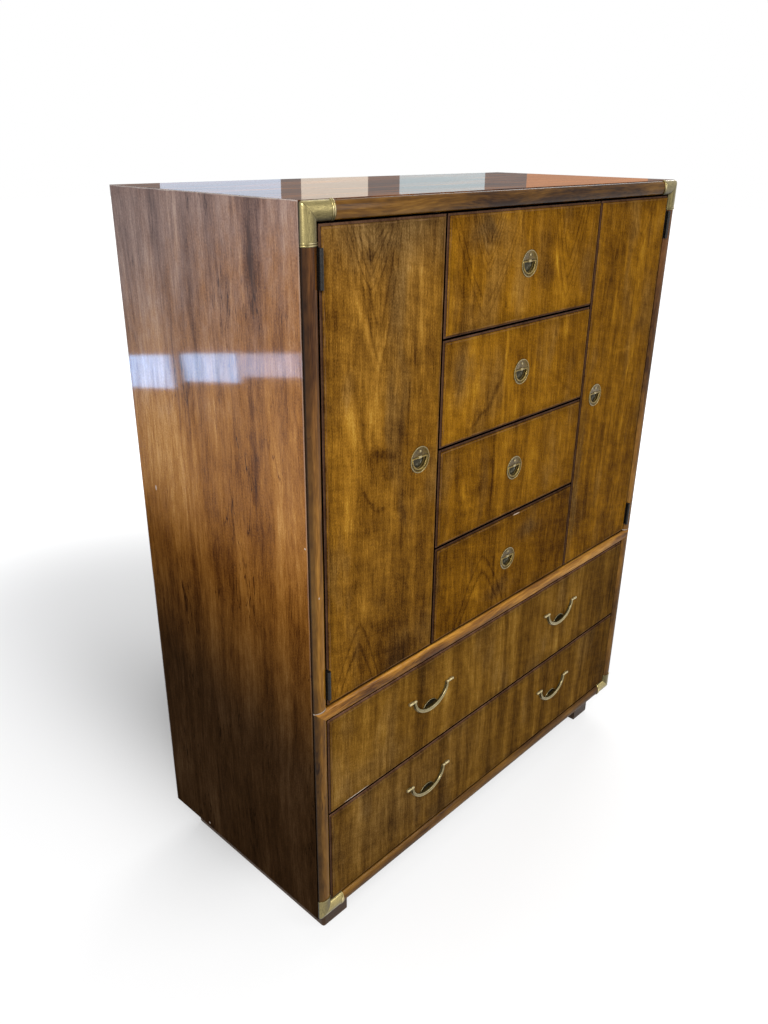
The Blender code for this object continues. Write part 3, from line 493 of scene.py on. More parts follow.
def aged_brass(name, seed, bright, lip, lip_share, brushed=0.0):
    """Olive brass, dark with age in its hollows and rubbed light between the two depths of its lip.

    Brushed brass is that of the corners: its lines follow each leg, a dark line marks the mitre, and painted
    highlight and shade run across each leg.
    """
    graph = Graph(name)
    x, y, z = graph.place()
    cloud = graph.noise(x * 130.0, z * 130.0 + y * 130.0, seed, 4.0, 0.6)
    fine = graph.noise(x * 620.0, z * 620.0 + y * 300.0, seed + 5.0, 3.0, 0.7)
    if brushed:
        from_side = side_x - x.size()
        from_end = (z - case_bottom).least(case_top - z)
        level = graph.ease(from_side - from_end, -0.001, 0.001)
        across = graph.noise(x * 90.0, z * 1500.0 + y * 900.0, seed + 2.0, 3.0, 0.6)
        upward = graph.noise(x * 1500.0 + y * 900.0, z * 90.0, seed + 3.0, 3.0, 0.6)
        lines = across * level + upward * (1.0 - level)
        cloud = cloud * (1.0 - brushed) + lines * brushed
    tarnish = graph.ease(cloud + (fine - 0.5) * 0.35, 0.36, 0.68)
    clean, dull = [
        (*(share * part for share, part in zip(bright, tint)), 1.0) for tint in (clean_brass, dull_brass)
    ]
    colour = graph.mix(tarnish, clean, dull)
    far, near = lip
    depth = y - front_y
    proud = graph.ease(depth, -far - 0.0004, -far) * graph.fade(depth, -near, -near + 0.0004)
    colour = graph.mix(proud * lip_share, colour, (0.48, 0.40, 0.22, 1.0))
    hollow = graph.ease(depth, 0.0012, 0.0050)
    cup = graph.mix(graph.ease(z, 0.50, 0.55), (0.026, 0.022, 0.013, 1.0), (0.048, 0.042, 0.024, 1.0))
    colour = graph.mix(hollow, colour, cup)
    if brushed:
        # Painted highlight and shade across each leg: lighter on the outer part, darker towards the inner
        # edge and under the top level legs, and on the bottom level legs lighter towards the top.
        inward = from_side.least(from_end)
        inner = graph.ease(inward + cloud * 0.004, 0.006, 0.023)
        high = graph.ease(z, 0.5, 0.6)
        below = (1.0 - high) * level
        under = graph.ease(inward, 0.019, 0.027) * level * high * 0.45
        upper_shade = (1.30 - inner * 0.62 - under) * (1.0 - below)
        colour = graph.shade(colour, upper_shade + (inner * 0.9 + 1.1) * below)
        line = graph.fade((from_side - from_end).size(), 0.00015, 0.0007)
        colour = graph.mix(line * 0.75, colour, (0.05, 0.035, 0.018, 1.0))
    graph.set(Base_Color=colour)
    graph.set(Metallic=0.75 - hollow * 0.40)
    graph.set(Roughness=tarnish * 0.14 + fine * 0.12 + 0.20)
    graph.set(Normal=graph.bump(fine, 0.00005, 0.35))
    graph.shader.inputs["Specular IOR Level"].default_value = 0.2
    return graph.material


def black_steel():
    """The hinges' blackened steel."""
    graph = Graph("black_steel")
    x, y, z = graph.place()
    speck = graph.noise(x * 700.0, z * 700.0, 3.0, 3.0)
    colours = ((0.3, (0.004, 0.004, 0.004)), (0.7, (0.016, 0.014, 0.012)))
    graph.set(Base_Color=graph.ramp(speck, colours))
    graph.set(Metallic=0.6, Roughness=speck * 0.25 + 0.30)
    return graph.material


# Mesh helpers
def new_object(name, bm, material, body, node=None, smooth=40.0):
    """A finished piece on its body, in the place of a node where one is named."""
    bmesh.ops.remove_doubles(bm, verts=bm.verts, dist=1e-6)
    bmesh.ops.recalc_face_normals(bm, faces=bm.faces)
    mesh = bpy.data.meshes.new(name)
    bm.to_mesh(mesh)
    bm.free()
    mesh.shade_smooth()
    mesh.set_sharp_from_angle(angle=math.radians(smooth))
    mesh.materials.append(material)
    piece = bpy.data.objects.new(name, mesh)
    bpy.context.scene.collection.objects.link(piece)
    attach(piece, body)
    if node:
        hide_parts(node)


def loop(bm, points):
    """A closed ring of edges through the points."""
    verts = [bm.verts.new(point) for point in points]
    return [bm.edges.new((verts[i - 1], verts[i])) for i in range(len(verts))]


def cap(bm, edges):
    return bmesh.ops.contextual_create(bm, geom=edges)["faces"]


def skin(bm, rings, cyclic=False, caps=True):
    """Bridges rings of like points one after the other, and closes both ends."""
    loops = [loop(bm, ring) for ring in rings]
    pairs = list(zip(loops, loops[1:])) + ([(loops[-1], loops[0])] if cyclic else [])
    for lower, upper in pairs:
        bmesh.ops.bridge_loops(bm, edges=lower + upper)
    if caps and not cyclic:
        cap(bm, loops[0])
        cap(bm, loops[-1])


def prism(bm, outline, start, end, across, along):
    """An outline of (across, depth) pairs pushed along from start to end."""
    across = Vector(across)
    along = Vector(along)
    ring = [across * u + Vector((0, v, 0)) + along * start for u, v in outline]
    face = cap(bm, loop(bm, ring))
    grown = bmesh.ops.extrude_face_region(bm, geom=face)["geom"]
    moved = [item for item in grown if isinstance(item, bmesh.types.BMVert)]
    bmesh.ops.translate(bm, vec=along * (end - start), verts=moved)
    return grown


def block(bm, size, middle):
    """A box of a size round its middle."""
    verts = bmesh.ops.create_cube(bm, size=1)["verts"]
    bmesh.ops.scale(bm, vec=size, verts=verts)
    bmesh.ops.translate(bm, vec=middle, verts=verts)
    return verts


def cut_away(bm, point, normal):
    """Takes off what lies past a plane, and closes the cut."""
    everything = bm.verts[:] + bm.edges[:] + bm.faces[:]
    cut = bmesh.ops.bisect_plane(
        bm, geom=everything, dist=1e-6, plane_co=point, plane_no=normal, clear_outer=True
    )
    edges = [item for item in cut["geom_cut"] if isinstance(item, bmesh.types.BMEdge)]
    bmesh.ops.holes_fill(bm, edges=edges, sides=0)


def crown(outer, inner, inset=0.0, steps=28):
    """The half-round front of a moulding between two edges, as (across, depth)."""
    first = outer + inset
    last = inner - inset
    rise = crown_edge + crown_proud - inset
    points = []
    for step in range(steps + 1):
        angle = math.pi * step / steps
        across = (first + last) / 2 - (last - first) / 2 * math.cos(angle)
        points.append((across, front_y + crown_edge - rise * math.sin(angle)))
    return points


# Finishes: a patch is x, z, half width, half height, strength and, if it has one, its lean.
# An arch is x, z, half width, length, the number of its lines, strength and lean.
arch_sets = {
    "left_door": (
        (-0.402, 1.228, 0.036, 0.06, 3.0, 0.14),
        (-0.38, 1.115, 0.034, 0.12, 2.0, 0.14, -0.03),
        (-0.427, 0.7, 0.034, -0.065, 1.6, 0.15, 0.05),
        (-0.397, 1.296, 0.04, 0.04, 3.0, 0.1),
    ),
    "right_door": ((0.4, 1.23, 0.03, 0.05, 1.5, 0.09),),
    "drawer_1_front": (
        (-0.12, 1.24, 0.03, 0.05, 3.0, 0.15),
        (-0.12, 1.165, 0.03, 0.035, 1.5, 0.12),
        (0.13, 1.172, 0.036, 0.085, 2.4, 0.16),
    ),
    "drawer_4_front": ((-0.085, 0.707, 0.04, -0.05, 1.4, 0.15),),
}
patch_sets = {
    "left_door": (
        (-0.443, 1.055, 0.009, 0.06, 0.2, -0.18),
        (-0.36, 1.165, 0.016, 0.085, 0.15),
        (-0.418, 1.03, 0.005, 0.04, -0.26, -0.25),
        (-0.378, 0.985, 0.03, 0.012, -0.2, -0.8),
        (-0.352, 0.955, 0.012, 0.026, -0.16),
        (-0.392, 1.068, 0.026, 0.05, 0.26, -0.1),
        (-0.415, 1.05, 0.055, 0.075, 0.16),
        (-0.415, 1.197, 0.007, 0.06, 0.24, -0.4),
        (-0.376, 1.16, 0.004, 0.045, 0.16, 0.35),
        (-0.345, 1.165, 0.014, 0.1, 0.1),
        (-0.287, 1.225, 0.004, 0.075, 0.17),
        (-0.255, 1.22, 0.005, 0.09, 0.13),
        (-0.32, 1.22, 0.004, 0.08, 0.13),
        (-0.3, 1.13, 0.003, 0.03, -0.22),
        (-0.315, 1.05, 0.003, 0.05, -0.2),
        (-0.47, 1.2, 0.018, 0.11, -0.14),
        (-0.33, 1.01, 0.012, 0.018, -0.16),
        (-0.405, 0.914, 0.005, 0.022, -0.22, -0.7),
        (-0.377, 0.889, 0.016, 0.005, -0.18),
        (-0.455, 0.895, 0.008, 0.04, 0.18),
        (-0.36, 0.905, 0.012, 0.02, 0.14),
        (-0.325, 0.83, 0.006, 0.07, -0.18),
        (-0.335, 0.715, 0.005, 0.03, -0.16),
        (-0.42, 0.735, 0.016, 0.035, 0.22),
        (-0.29, 0.7, 0.005, 0.1, 0.14),
        (-0.32, 0.585, 0.04, 0.025, -0.16),
        (-0.405, 1.298, 0.014, 0.01, -0.24),
        (-0.36, 0.65, 0.14, 0.15, -0.12),
    ),
    "right_door": (
        (0.325, 1.165, 0.005, 0.085, 0.12),
        (0.35, 1.25, 0.004, 0.05, 0.14),
        (0.38, 1.035, 0.05, 0.004, 0.1),
        (0.415, 0.99, 0.005, 0.04, 0.12, 0.37),
        (0.35, 0.79, 0.006, 0.11, 0.12),
        (0.415, 0.84, 0.005, 0.04, 0.12),
        (0.48, 0.62, 0.012, 0.03, 0.16),
        (0.38, 0.64, 0.16, 0.16, -0.07),
    ),
    "drawer_1_front": (
        (-0.13, 1.315, 0.045, 0.03, -0.12),
        (-0.162, 1.235, 0.004, 0.055, 0.17),
        (0.055, 1.25, 0.014, 0.12, -0.18),
        (0.025, 1.25, 0.004, 0.1, 0.15),
        (0.093, 1.245, 0.004, 0.045, 0.24, -0.28),
        (-0.04, 1.23, 0.012, 0.04, 0.14),
        (-0.062, 1.188, 0.006, 0.008, -0.26),
        (0.08, 1.18, 0.14, 0.03, 0.08),
    ),
    "drawer_2_front": (
        (-0.18, 1.085, 0.028, 0.045, -0.12),
        (-0.212, 1.03, 0.008, 0.03, 0.2),
        (-0.132, 1.047, 0.012, 0.03, 0.26),
        (-0.12, 0.992, 0.008, 0.016, -0.2, 1.7),
        (-0.075, 1.035, 0.007, 0.028, -0.2, 0.6),
        (-0.05, 1.1, 0.005, 0.04, 0.18),
        (0.0, 1.08, 0.03, 0.08, -0.1),
        (-0.01, 0.985, 0.014, 0.018, 0.22),
        (0.045, 1.065, 0.004, 0.07, 0.15),
        (0.14, 1.12, 0.012, 0.02, 0.14),
        (0.155, 1.0, 0.01, 0.04, -0.1, -1.6),
    ),
    "drawer_3_front": (
        (-0.157, 0.853, 0.006, 0.028, 0.22, -0.3),
        (-0.135, 0.819, 0.014, 0.008, 0.18),
        (-0.108, 0.85, 0.01, 0.012, -0.26),
        (-0.072, 0.865, 0.004, 0.07, -0.2),
        (-0.06, 0.865, 0.004, 0.07, 0.17),
        (0.11, 0.86, 0.09, 0.08, 0.04),
    ),
    "drawer_4_front": (
        (-0.045, 0.68, 0.003, 0.06, -0.2),
        (-0.19, 0.65, 0.008, 0.05, 0.2),
        (-0.1, 0.62, 0.014, 0.02, 0.17),
        (-0.03, 0.6, 0.03, 0.02, -0.2),
        (0.12, 0.64, 0.1, 0.06, -0.05),
    ),
    "long_drawer_1_front": (
        (-0.11, 0.45, 0.01, 0.05, 0.18, -0.4),
        (0.0, 0.43, 0.12, 0.1, 0.06),
        (0.43, 0.43, 0.1, 0.1, -0.16),
        (-0.18, 0.44, 0.01, 0.09, 0.1),
        (-0.3, 0.44, 0.008, 0.09, -0.1),
        (-0.37, 0.43, 0.01, 0.08, 0.1),
    ),
    "long_drawer_2_front": (
        (0.4, 0.22, 0.1, 0.1, -0.12),
        (-0.42, 0.23, 0.012, 0.09, 0.1),
        (-0.33, 0.18, 0.06, 0.05, -0.05),
        (-0.16, 0.21, 0.01, 0.09, 0.09),
        (-0.09, 0.21, 0.008, 0.09, -0.1),
    ),
}
# Patches of greyer umber tone and painted sheen laid over the fronts.
umber_and_sheen_sets = {
    "left_door": (
        (-0.36, 1.335, 0.16, 0.055, 0.8),
        (-0.37, 1.2, 0.2, 0.2, 0.3),
        (-0.37, 0.72, 0.2, 0.26, 0.24),
        (-0.325, 1.205, 0.05, 0.09, 0.1),
        (-0.26, 0.6, 0.05, 0.05, 0.35),
    ),
    "right_door": ((0.247, 0.75, 0.01, 0.15, 0.6),),
    "drawer_1_front": ((-0.13, 1.315, 0.045, 0.03, 0.8),),
    "drawer_2_front": ((-0.18, 1.085, 0.028, 0.045, 0.7),),
    "drawer_4_front": ((0.07, 0.71, 0.04, 0.018, 0.7), (-0.02, 0.6, 0.05, 0.02, 0.4)),
    "long_drawer_1_front": ((-0.4, 0.36, 0.12, 0.04, 0.35),),
    "long_drawer_2_front": ((-0.33, 0.22, 0.22, 0.12, 0.5),),
}
chip_sets = {
    "drawer_4_front": ((0.022, 0.7568, 0.013, 0.0012, 1.0),),
    "long_drawer_1_front": ((-0.1746, 0.5349, 0.004, 0.0012, 1.0), (-0.435, 0.3277, 0.036, 0.0011, 1.0)),
}
front_looks = {
    "left_door": (11.0, front_tones, -0.020, 0.9, 1.0),
    "right_door": (23.0, front_tones, 0.015, 1.1, 1.1),
    "drawer_1_front": (31.0, front_tones, 0.025, 1.0, 1.0),
    "drawer_2_front": (37.0, front_tones, 0.045, 1.0, 0.9),
    "drawer_3_front": (43.0, front_tones, -0.050, 0.9, 0.8),
    "drawer_4_front": (47.0, front_tones, -0.095, 0.9, 0.9),
    "long_drawer_1_front": (53.0, lower_tones, 0.040, 2.0, 0.8),
    "long_drawer_2_front": (57.0, lower_tones, -0.010, 2.0, 0.8),
}


def set_material(name, material):
    slots = nodes[name].data.materials
    slots.clear()
    slots.append(material)


for name, look in front_looks.items():
    set_material(name, front_veneer(name, *look))

set_material("left_side_panel", panel_veneer("left_side_veneer", 61.0, 0.97, side_chips))
set_material("right_side_panel", panel_veneer("right_side_veneer", 67.0, 0.75, ()))
set_material("top_panel", top_veneer())
box_wood = plain_wood("drawer_box_wood", pale_tones, False, 71.0)
partition_wood = plain_wood("partition_wood", pale_tones, True, 73.0)
base_wood = plain_wood("base_wood", dark_tones, False, 79.0, 0.40)
back_wood = plain_wood("back_board", back_tones, True, 83.0, 0.70)
for name in nodes:
    if name.endswith("_box"):
        set_material(name, box_wood)
    if name.endswith("_partition"):
        set_material(name, partition_wood)
set_material("base_frame", base_wood)
set_material("back_panel", back_wood)
stile_wood = moulding_wood("stile_wood", 2, 89.0, 1.32)
top_rail_wood = moulding_wood("top_rail_wood", 0, 97.0, 0.78)
middle_rail_wood = moulding_wood("middle_rail_wood", 0, 93.0, 2.15)
bottom_rail_wood = moulding_wood("bottom_rail_wood", 0, 99.0, 0.88)
plate_brass = aged_brass("plate_brass", 3.0, (0.50, 0.38, 0.12), (0.0021, 0.0016), 0.62)
ring_brass = aged_brass("ring_brass", 4.0, (1.05, 0.90, 0.60), (0.0200, 0.0190), 0.0)
bail_brass = aged_brass("bail_brass", 5.0, (0.85, 0.85, 0.85), (0.0200, 0.0056), 0.50)
end_brass = aged_brass("end_brass", 6.0, (2.30, 2.30, 2.30), (0.0200, 0.0030), 0.70)
corner_brass = aged_brass("corner_brass", 8.0, (1.06, 1.06, 1.00), (0.0200, 0.0044), 0.60, 0.7)
steel = black_steel()


# Front frame
tongue_x = 0.0203
frame_depth = 0.022
corner_leg = 0.0595
corner_proud = 0.0009
short_leg = 0.0460
sleeve_wall = 0.0012
sleeve_round = 0.0045
neck = 0.0009


def covered_profile(inset=0.0):
    """Moulding with its tongue beside the panel that it covers."""
    y = front_y
    tail = [(frame_width - inset, y + shoulder), (frame_width, y + shoulder), (frame_width, y + frame_depth)]
    tail += [(tongue_x, y + frame_depth), (tongue_x, y + shoulder), (frame_inset + inset, y + shoulder)]
    return crown(frame_inset, frame_width, inset) + tail


def rail_profile(height, outer, inset=0.0):
    """The moulding on a deck's front edge: heights run down from its top."""
    low = height - outer
    tail = [(low - inset, front_y + shoulder), (low, front_y + shoulder), (low, front_y + frame_depth)]
    tail += [(0.0, front_y + frame_depth), (0.0, front_y + shoulder), (inset, front_y + shoulder)]
    return crown(0.0, low, inset) + tail


def corner_cut(side, z, turn):
    """A 45 degree cut from a front corner of the case."""
    return (side * side_x, 0, z), (-side, 0, turn)


def middle_cut(side, way):
    """The mitre between a lower stile and the middle rail."""
    height = middle_top - middle_bottom
    point = (side * (side_x - frame_inset), 0, middle_top - way * gap / 2)
    return point, Vector((side * height, 0, frame_inset - frame_width)) * way


def stretch(bm, outline, start, end, across, along, shift, cuts=()):
    """One stretch of moulding, put in place and cut to its mitres."""
    piece = bmesh.new()
    prism(piece, outline, start, end, across, along)
    bmesh.ops.translate(piece, vec=shift, verts=piece.verts)
    for point, normal in cuts:
        cut_away(piece, point, normal)
    bmesh.ops.recalc_face_normals(piece, faces=piece.faces)
    mesh = bpy.data.meshes.new("stretch")
    piece.to_mesh(mesh)
    piece.free()
    bm.from_mesh(mesh)
    bpy.data.meshes.remove(mesh)


def stile(name, side, low, high, legs, cuts):
    bm = bmesh.new()
    shift = (side * side_x, 0, 0)
    across = (-side, 0, 0)
    for start, end, inset in ((low, high, 0.0), *legs):
        stretch(bm, covered_profile(inset), start, end, across, (0, 0, 1), shift, cuts)
    new_object(name + "_moulding", bm, stile_wood, "case", name, 35.0)


for side, word in ((-1, "left"), (1, "right")):
    high = case_top - corner_leg - gap
    low = case_bottom + short_leg + gap
    legs = [(high, case_top, neck)]
    stile(f"upper_{word}_stile", side, middle_top + gap, high, legs, [corner_cut(side, case_top - gap, 1)])
    legs = [(case_bottom, low, neck)]
    cuts = [corner_cut(side, case_bottom + gap, -1), middle_cut(side, -1)]
    stile(f"lower_{word}_stile", side, low, middle_top, legs, cuts)


def rail(name, node, wood, profile, top, end, legs, cuts, board=None):
    """A rail across the front, with the deck's board behind it where it has one."""
    bm = bmesh.new()
    shift = (0, 0, top)
    stretch(bm, profile(0.0), -end, end, (0, 0, -1), (1, 0, 0), shift, cuts)
    for start, stop in legs:
        stretch(bm, profile(neck), start, stop, (0, 0, -1), (1, 0, 0), shift)
    if board:
        low, high = board
        middle = (Vector(low) + Vector(high)) / 2
        size = Vector(high) - Vector(low)
        block(bm, size, middle)
    new_object(name, bm, wood, "case", node, 35.0)


leg_x = side_x - corner_leg - gap
end_x = stile_x - gap
ends = ((-end_x, -leg_x), (leg_x, end_x))
deck_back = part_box("middle_deck")[1].y
deck_x = side_x - 0.0203
rail("top_rail_moulding", "top_rail", top_rail_wood, covered_profile, case_top, leg_x, ends, ())
middle_cuts = [middle_cut(-1, 1), middle_cut(1, 1)]
board_front = front_y + frame_depth
board = ((-deck_x, board_front, middle_top - 0.018), (deck_x, deck_back, middle_top))
rail(
    "middle_rail_moulding", "middle_deck", middle_rail_wood,
    lambda inset: rail_profile(middle_top - middle_bottom, 0.0, inset),
    middle_top, side_x, (), middle_cuts, board,
)
deck_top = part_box("bottom_deck")[1].z
rail_top = case_bottom + frame_width
board = ((-deck_x, board_front, rail_top - 0.018), (deck_x, deck_back, deck_top))
rail(
    "bottom_rail_moulding", "bottom_deck", bottom_rail_wood,
    lambda inset: rail_profile(frame_width, frame_inset, inset),
    rail_top, leg_x, ends, (), board,
)


# Brass corners
def sweep(bm, path, normals, width, depth, side_way, sides=14, cyclic=False):
    """A bar along a path: its section reaches width along each normal and depth along side_way."""
    side_way = Vector(side_way)
    rings = []
    for index, (point, normal) in enumerate(zip(path, normals)):
        wide = width[index] if isinstance(width, list) else width
        deep = depth[index] if isinstance(depth, list) else depth
        ring = []
        for step in range(sides):
            angle = math.tau * step / sides
            out = Vector(normal) * (wide * math.cos(angle)) + side_way * (deep * math.sin(angle))
            ring.append(Vector(point) + out)
        rings.append(ring)
    skin(bm, rings, cyclic)


def corner_shell(upright_leg, upright_beads, level_beads):
    """The sleeve over a lower left corner; a bead is its place along the leg and its radius."""
    bm = bmesh.new()
    back = front_y + shoulder - gap
    outer = crown(frame_inset, frame_width, -corner_proud)
    inner = crown(frame_inset, frame_width, sleeve_wall - corner_proud)
    outline = [(outer[0][0], back)] + outer + [(outer[-1][0], back)]
    lining = [(inner[0][0], back)] + inner + [(inner[-1][0], back)]
    section = outline + lining[::-1]
    span = frame_width - frame_inset
    radii = [sleeve_round * min(max((frame_width - s) / span, 0.0), 1.0) for s, y in section]
    rings = [[Vector((s, y, upright_leg)) for s, y in section]]
    for step in range(9):
        angle = math.radians(90) * step / 8
        rings.append([
            Vector((s + r * (1 - math.cos(angle)), y, s + r * (1 - math.sin(angle))))
            for (s, y), r in zip(section, radii)
        ])
    rings.append([Vector((corner_leg, y, s)) for s, y in section])
    skin(bm, rings)
    centre = Vector((frame_inset + span / 2, front_y + crown_edge, 0))
    swap = Matrix(((0, 0, 1, 0), (0, 1, 0, 0), (1, 0, 0, 0), (0, 0, 0, 1)))
    for leg, beads, turned in ((upright_leg, upright_beads, False), (corner_leg, level_beads, True)):
        path = [Vector((s, y, 0)) for s, y in outer]
        normals = [(point - centre).normalized() for point in path]
        for back_from_end, radius in beads:
            before = set(bm.verts)
            raised = [point + Vector((0, 0, leg - back_from_end)) for point in path]
            thinned = [min(radius, max(frame_width - point.x, 0.0) + 0.0005) for point in path]
            sweep(bm, raised, normals, thinned, radius, (0, 0, 1), 10)
            if turned:
                bmesh.ops.transform(bm, matrix=swap, verts=[vert for vert in bm.verts if vert not in before])
    return bm


double_bead = ((0.0016, 0.0014), (0.0048, 0.0013))
lip = ((0.0008, 0.0009),)
for name, side, z, leg, upright in (
    ("brass_corner_bottom_left", -1, case_bottom, short_leg, lip),
    ("brass_corner_bottom_right", 1, case_bottom, short_leg, lip),
    ("brass_corner_top_left", -1, case_top, corner_leg, double_bead),
    ("brass_corner_top_right", 1, case_top, corner_leg, double_bead),
):
    bm = corner_shell(leg, upright, double_bead)
    up = 1 if z < 1 else -1
    place = Matrix.Translation((side * side_x, 0, z)) @ Matrix.Diagonal((-side, 1, up, 1))
    bmesh.ops.transform(bm, matrix=place, verts=bm.verts)
    new_object(name + "_sleeve", bm, corner_brass, "case", name)


# Ring pulls
plate_radius = 0.0240
pivot_drop = 0.0040
ring_half = 0.0187
ring_drop = 0.0214
ring_thick = 0.0018
ring_deep = 0.0016
ring_shoulder = 0.035
pan_room = 0.0024
pan_wall = 0.0010
cup_half = 0.0140
cup_drop = 0.0165
cup_lip = 0.0006
screw_radius = 0.0026
screw_height = 0.0112


def cast(inside, centre, y, rays=72):
    """The outline of a shape, seen from a centre inside it, at a depth from the front."""
    points = []
    for step in range(rays):
        angle = math.tau * step / rays
        way = Vector((math.cos(angle), 0, math.sin(angle)))
        near, far = 0.0, 0.2
        for halving in range(24):
            middle = (near + far) / 2
            spot = Vector(centre) + way * middle
            if inside(spot.x, spot.z):
                near = middle
            else:
                far = middle
        points.append(Vector(centre) + way * near + Vector((0, y, 0)))
    return points


def round_shape(radius):
    return lambda x, z: x * x + (z + pivot_drop) ** 2 < radius * radius


def dee_shape(half, drop, top, base=0.0):
    """A D lying on its arc: half an ellipse below base, and a straight band up to top."""
    def inside(x, z):
        if z > top:
            return False
        if z > base:
            return abs(x) < half
        return (x / half) ** 2 + ((z - base) / drop) ** 2 < 1
    return inside


def moon_shape(half, rise, base):
    """Half an ellipse above its straight side."""
    return lambda x, z: z > base and (x / half) ** 2 + ((z - base) / rise) ** 2 < 1


def put(bm, spot):
    bmesh.ops.translate(bm, vec=spot, verts=bm.verts)


def ring_plate(name, node, body, pivot):
    """A round plate with a D-shaped pan, a cup in the pan, a block at the crossbar and a screw head."""
    bm = bmesh.new()
    centre = (0, 0, -0.009)
    low = (0, 0, -0.0100)
    cup_top = -pan_room

    def pan(extra):
        room = pan_room + extra
        return dee_shape(ring_half + room, ring_drop + room, room)

    def cup(share):
        return dee_shape(cup_half * share, cup_drop * share, cup_top, cup_top)

    rings = [
        cast(cup(0.35), low, 0.0089),
        cast(cup(0.70), low, 0.0086),
        cast(cup(0.90), low, 0.0075),
        cast(cup(0.98), low, 0.0055),
        cast(cup(1.0), low, 0.0029),
        cast(dee_shape(cup_half + cup_lip, cup_drop + cup_lip, cup_top + 0.0004, cup_top), low, 0.0024),
        cast(pan(0.0), centre, 0.0023),
        cast(pan(0.0), centre, -0.0008),
        cast(pan(0.0004), centre, -0.0011),
        cast(round_shape(plate_radius - 0.0020), centre, -0.0012),
        cast(round_shape(plate_radius - 0.0017), centre, -0.0014),
        cast(round_shape(plate_radius - 0.0011), centre, -0.0017),
        cast(round_shape(plate_radius - 0.0005), centre, -0.0014),
        cast(round_shape(plate_radius), centre, -0.0008),
        cast(round_shape(plate_radius), centre, -0.0003),
        cast(pan(pan_wall), centre, -0.0002),
        cast(pan(pan_wall), centre, 0.0033),
        cast(cup(1.06), low, 0.0034),
        cast(cup(1.0), low, 0.0098),
    ]
    skin(bm, rings)
    lug = block(bm, (0.0080, 0.0038, 0.0052), (0, -0.0001, 0.0005))
    edges = [edge for edge in bm.edges if all(vert in lug for vert in edge.verts)]
    bmesh.ops.bevel(bm, geom=edges, offset=0.0011, segments=3, affect="EDGES", profile=0.5, material=-1)
    turn = Matrix.Rotation(math.radians(90), 4, "X")
    head = bmesh.ops.create_uvsphere(bm, u_segments=20, v_segments=12, radius=screw_radius)["verts"]
    bmesh.ops.transform(bm, matrix=Matrix.Diagonal((1, 0.45, 1, 1)) @ turn, verts=head)
    bmesh.ops.translate(bm, vec=(0, -0.0010, screw_height), verts=head)
    put(bm, pivot)
    new_object(name, bm, plate_brass, body, node)


def dee_path(half, drop, top_half, steps=44):
    """The middle line of a D ring: its arc, two rounded corners and its crossbar, with normals."""
    low = drop * ring_shoulder
    arc = []
    for step in range(steps + 1):
        angle = math.pi * step / steps
        arc.append(Vector((half * math.cos(angle), 0, -(drop - low) * math.sin(angle) - low)))
    corner = half - top_half
    left = []
    for step in range(1, 6):
        angle = math.radians(90) * step / 6
        left.append(Vector((-half + corner * (1 - math.cos(angle)), 0, -low * (1 - math.sin(angle)))))
    bar = [Vector((-top_half + 2 * top_half * step / 8, 0, 0)) for step in range(9)]
    right = [Vector((-point.x, 0, point.z)) for point in reversed(left)]
    points = arc + left + bar + right
    normals = []
    for index, point in enumerate(points):
        tangent = points[(index + 1) % len(points)] - points[index - 1]
        normals.append(Vector((-tangent.z, 0, tangent.x)).normalized())
    return points, normals


def pull_ring(name, node, body, pivot):
    """A D-shaped ring about its crossbar."""
    bm = bmesh.new()
    points, normals = dee_path(ring_half, ring_drop, ring_half - 0.003)
    sweep(bm, points, normals, ring_thick, ring_deep, (0, 1, 0), 16, True)
    put(bm, pivot)
    new_object(name, bm, ring_brass, body, node, 50.0)


def hinges(ending):
    """Each joint of one kind: the stem of its name, the two bodies, its place and that place on the front."""
    for joint in frame["joints"]:
        if joint["name"].endswith(ending + "_hinge"):
            pivot = Vector(joint["pos_m"])
            stem = joint["child"][: -len(ending)]
            yield stem, joint["parent"], joint["child"], pivot, Vector((pivot.x, front_y, pivot.z))


for stem, parent, child, pivot, spot in hinges("_ring"):
    ring_plate(stem + "_ring_plate", stem + "_pull_plate", parent, spot)
    pull_ring(stem + "_dee_ring", stem + "_pull_ring", child, pivot)


# Crescent pulls
bail_half = 0.0485
bail_drop = 0.0395
bail_start = 0.06
plate_outer = (0.0520, 0.0452)
plate_inner = (0.0450, 0.0388)
plate_far = -0.0003
plate_near = -0.0014
plate_edge = 0.0005
post_place = 0.0598
knob_place = 0.0596
knob_radius = 0.0027
moon_half = 0.0215
moon_rise = 0.0169
moon_base = -0.0390


def round_bar(bm, x, y, radius, length, edge, sides=20):
    """A short bar from side to side with its end edges rounded."""
    turn = Matrix.Translation((x, y, 0)) @ Matrix.Rotation(math.radians(90), 4, "Y")
    bar = bmesh.ops.create_cone(
        bm, cap_ends=True, segments=sides, radius1=radius, radius2=radius, depth=length, matrix=turn
    )["verts"]
    ends = []
    for edge_line in bm.edges:
        first, last = edge_line.verts
        if first in bar and last in bar and abs(first.co.x - last.co.x) < 1e-5:
            ends.append(edge_line)
    bmesh.ops.bevel(bm, geom=ends, offset=edge, segments=2, affect="EDGES", profile=0.5, material=-1)


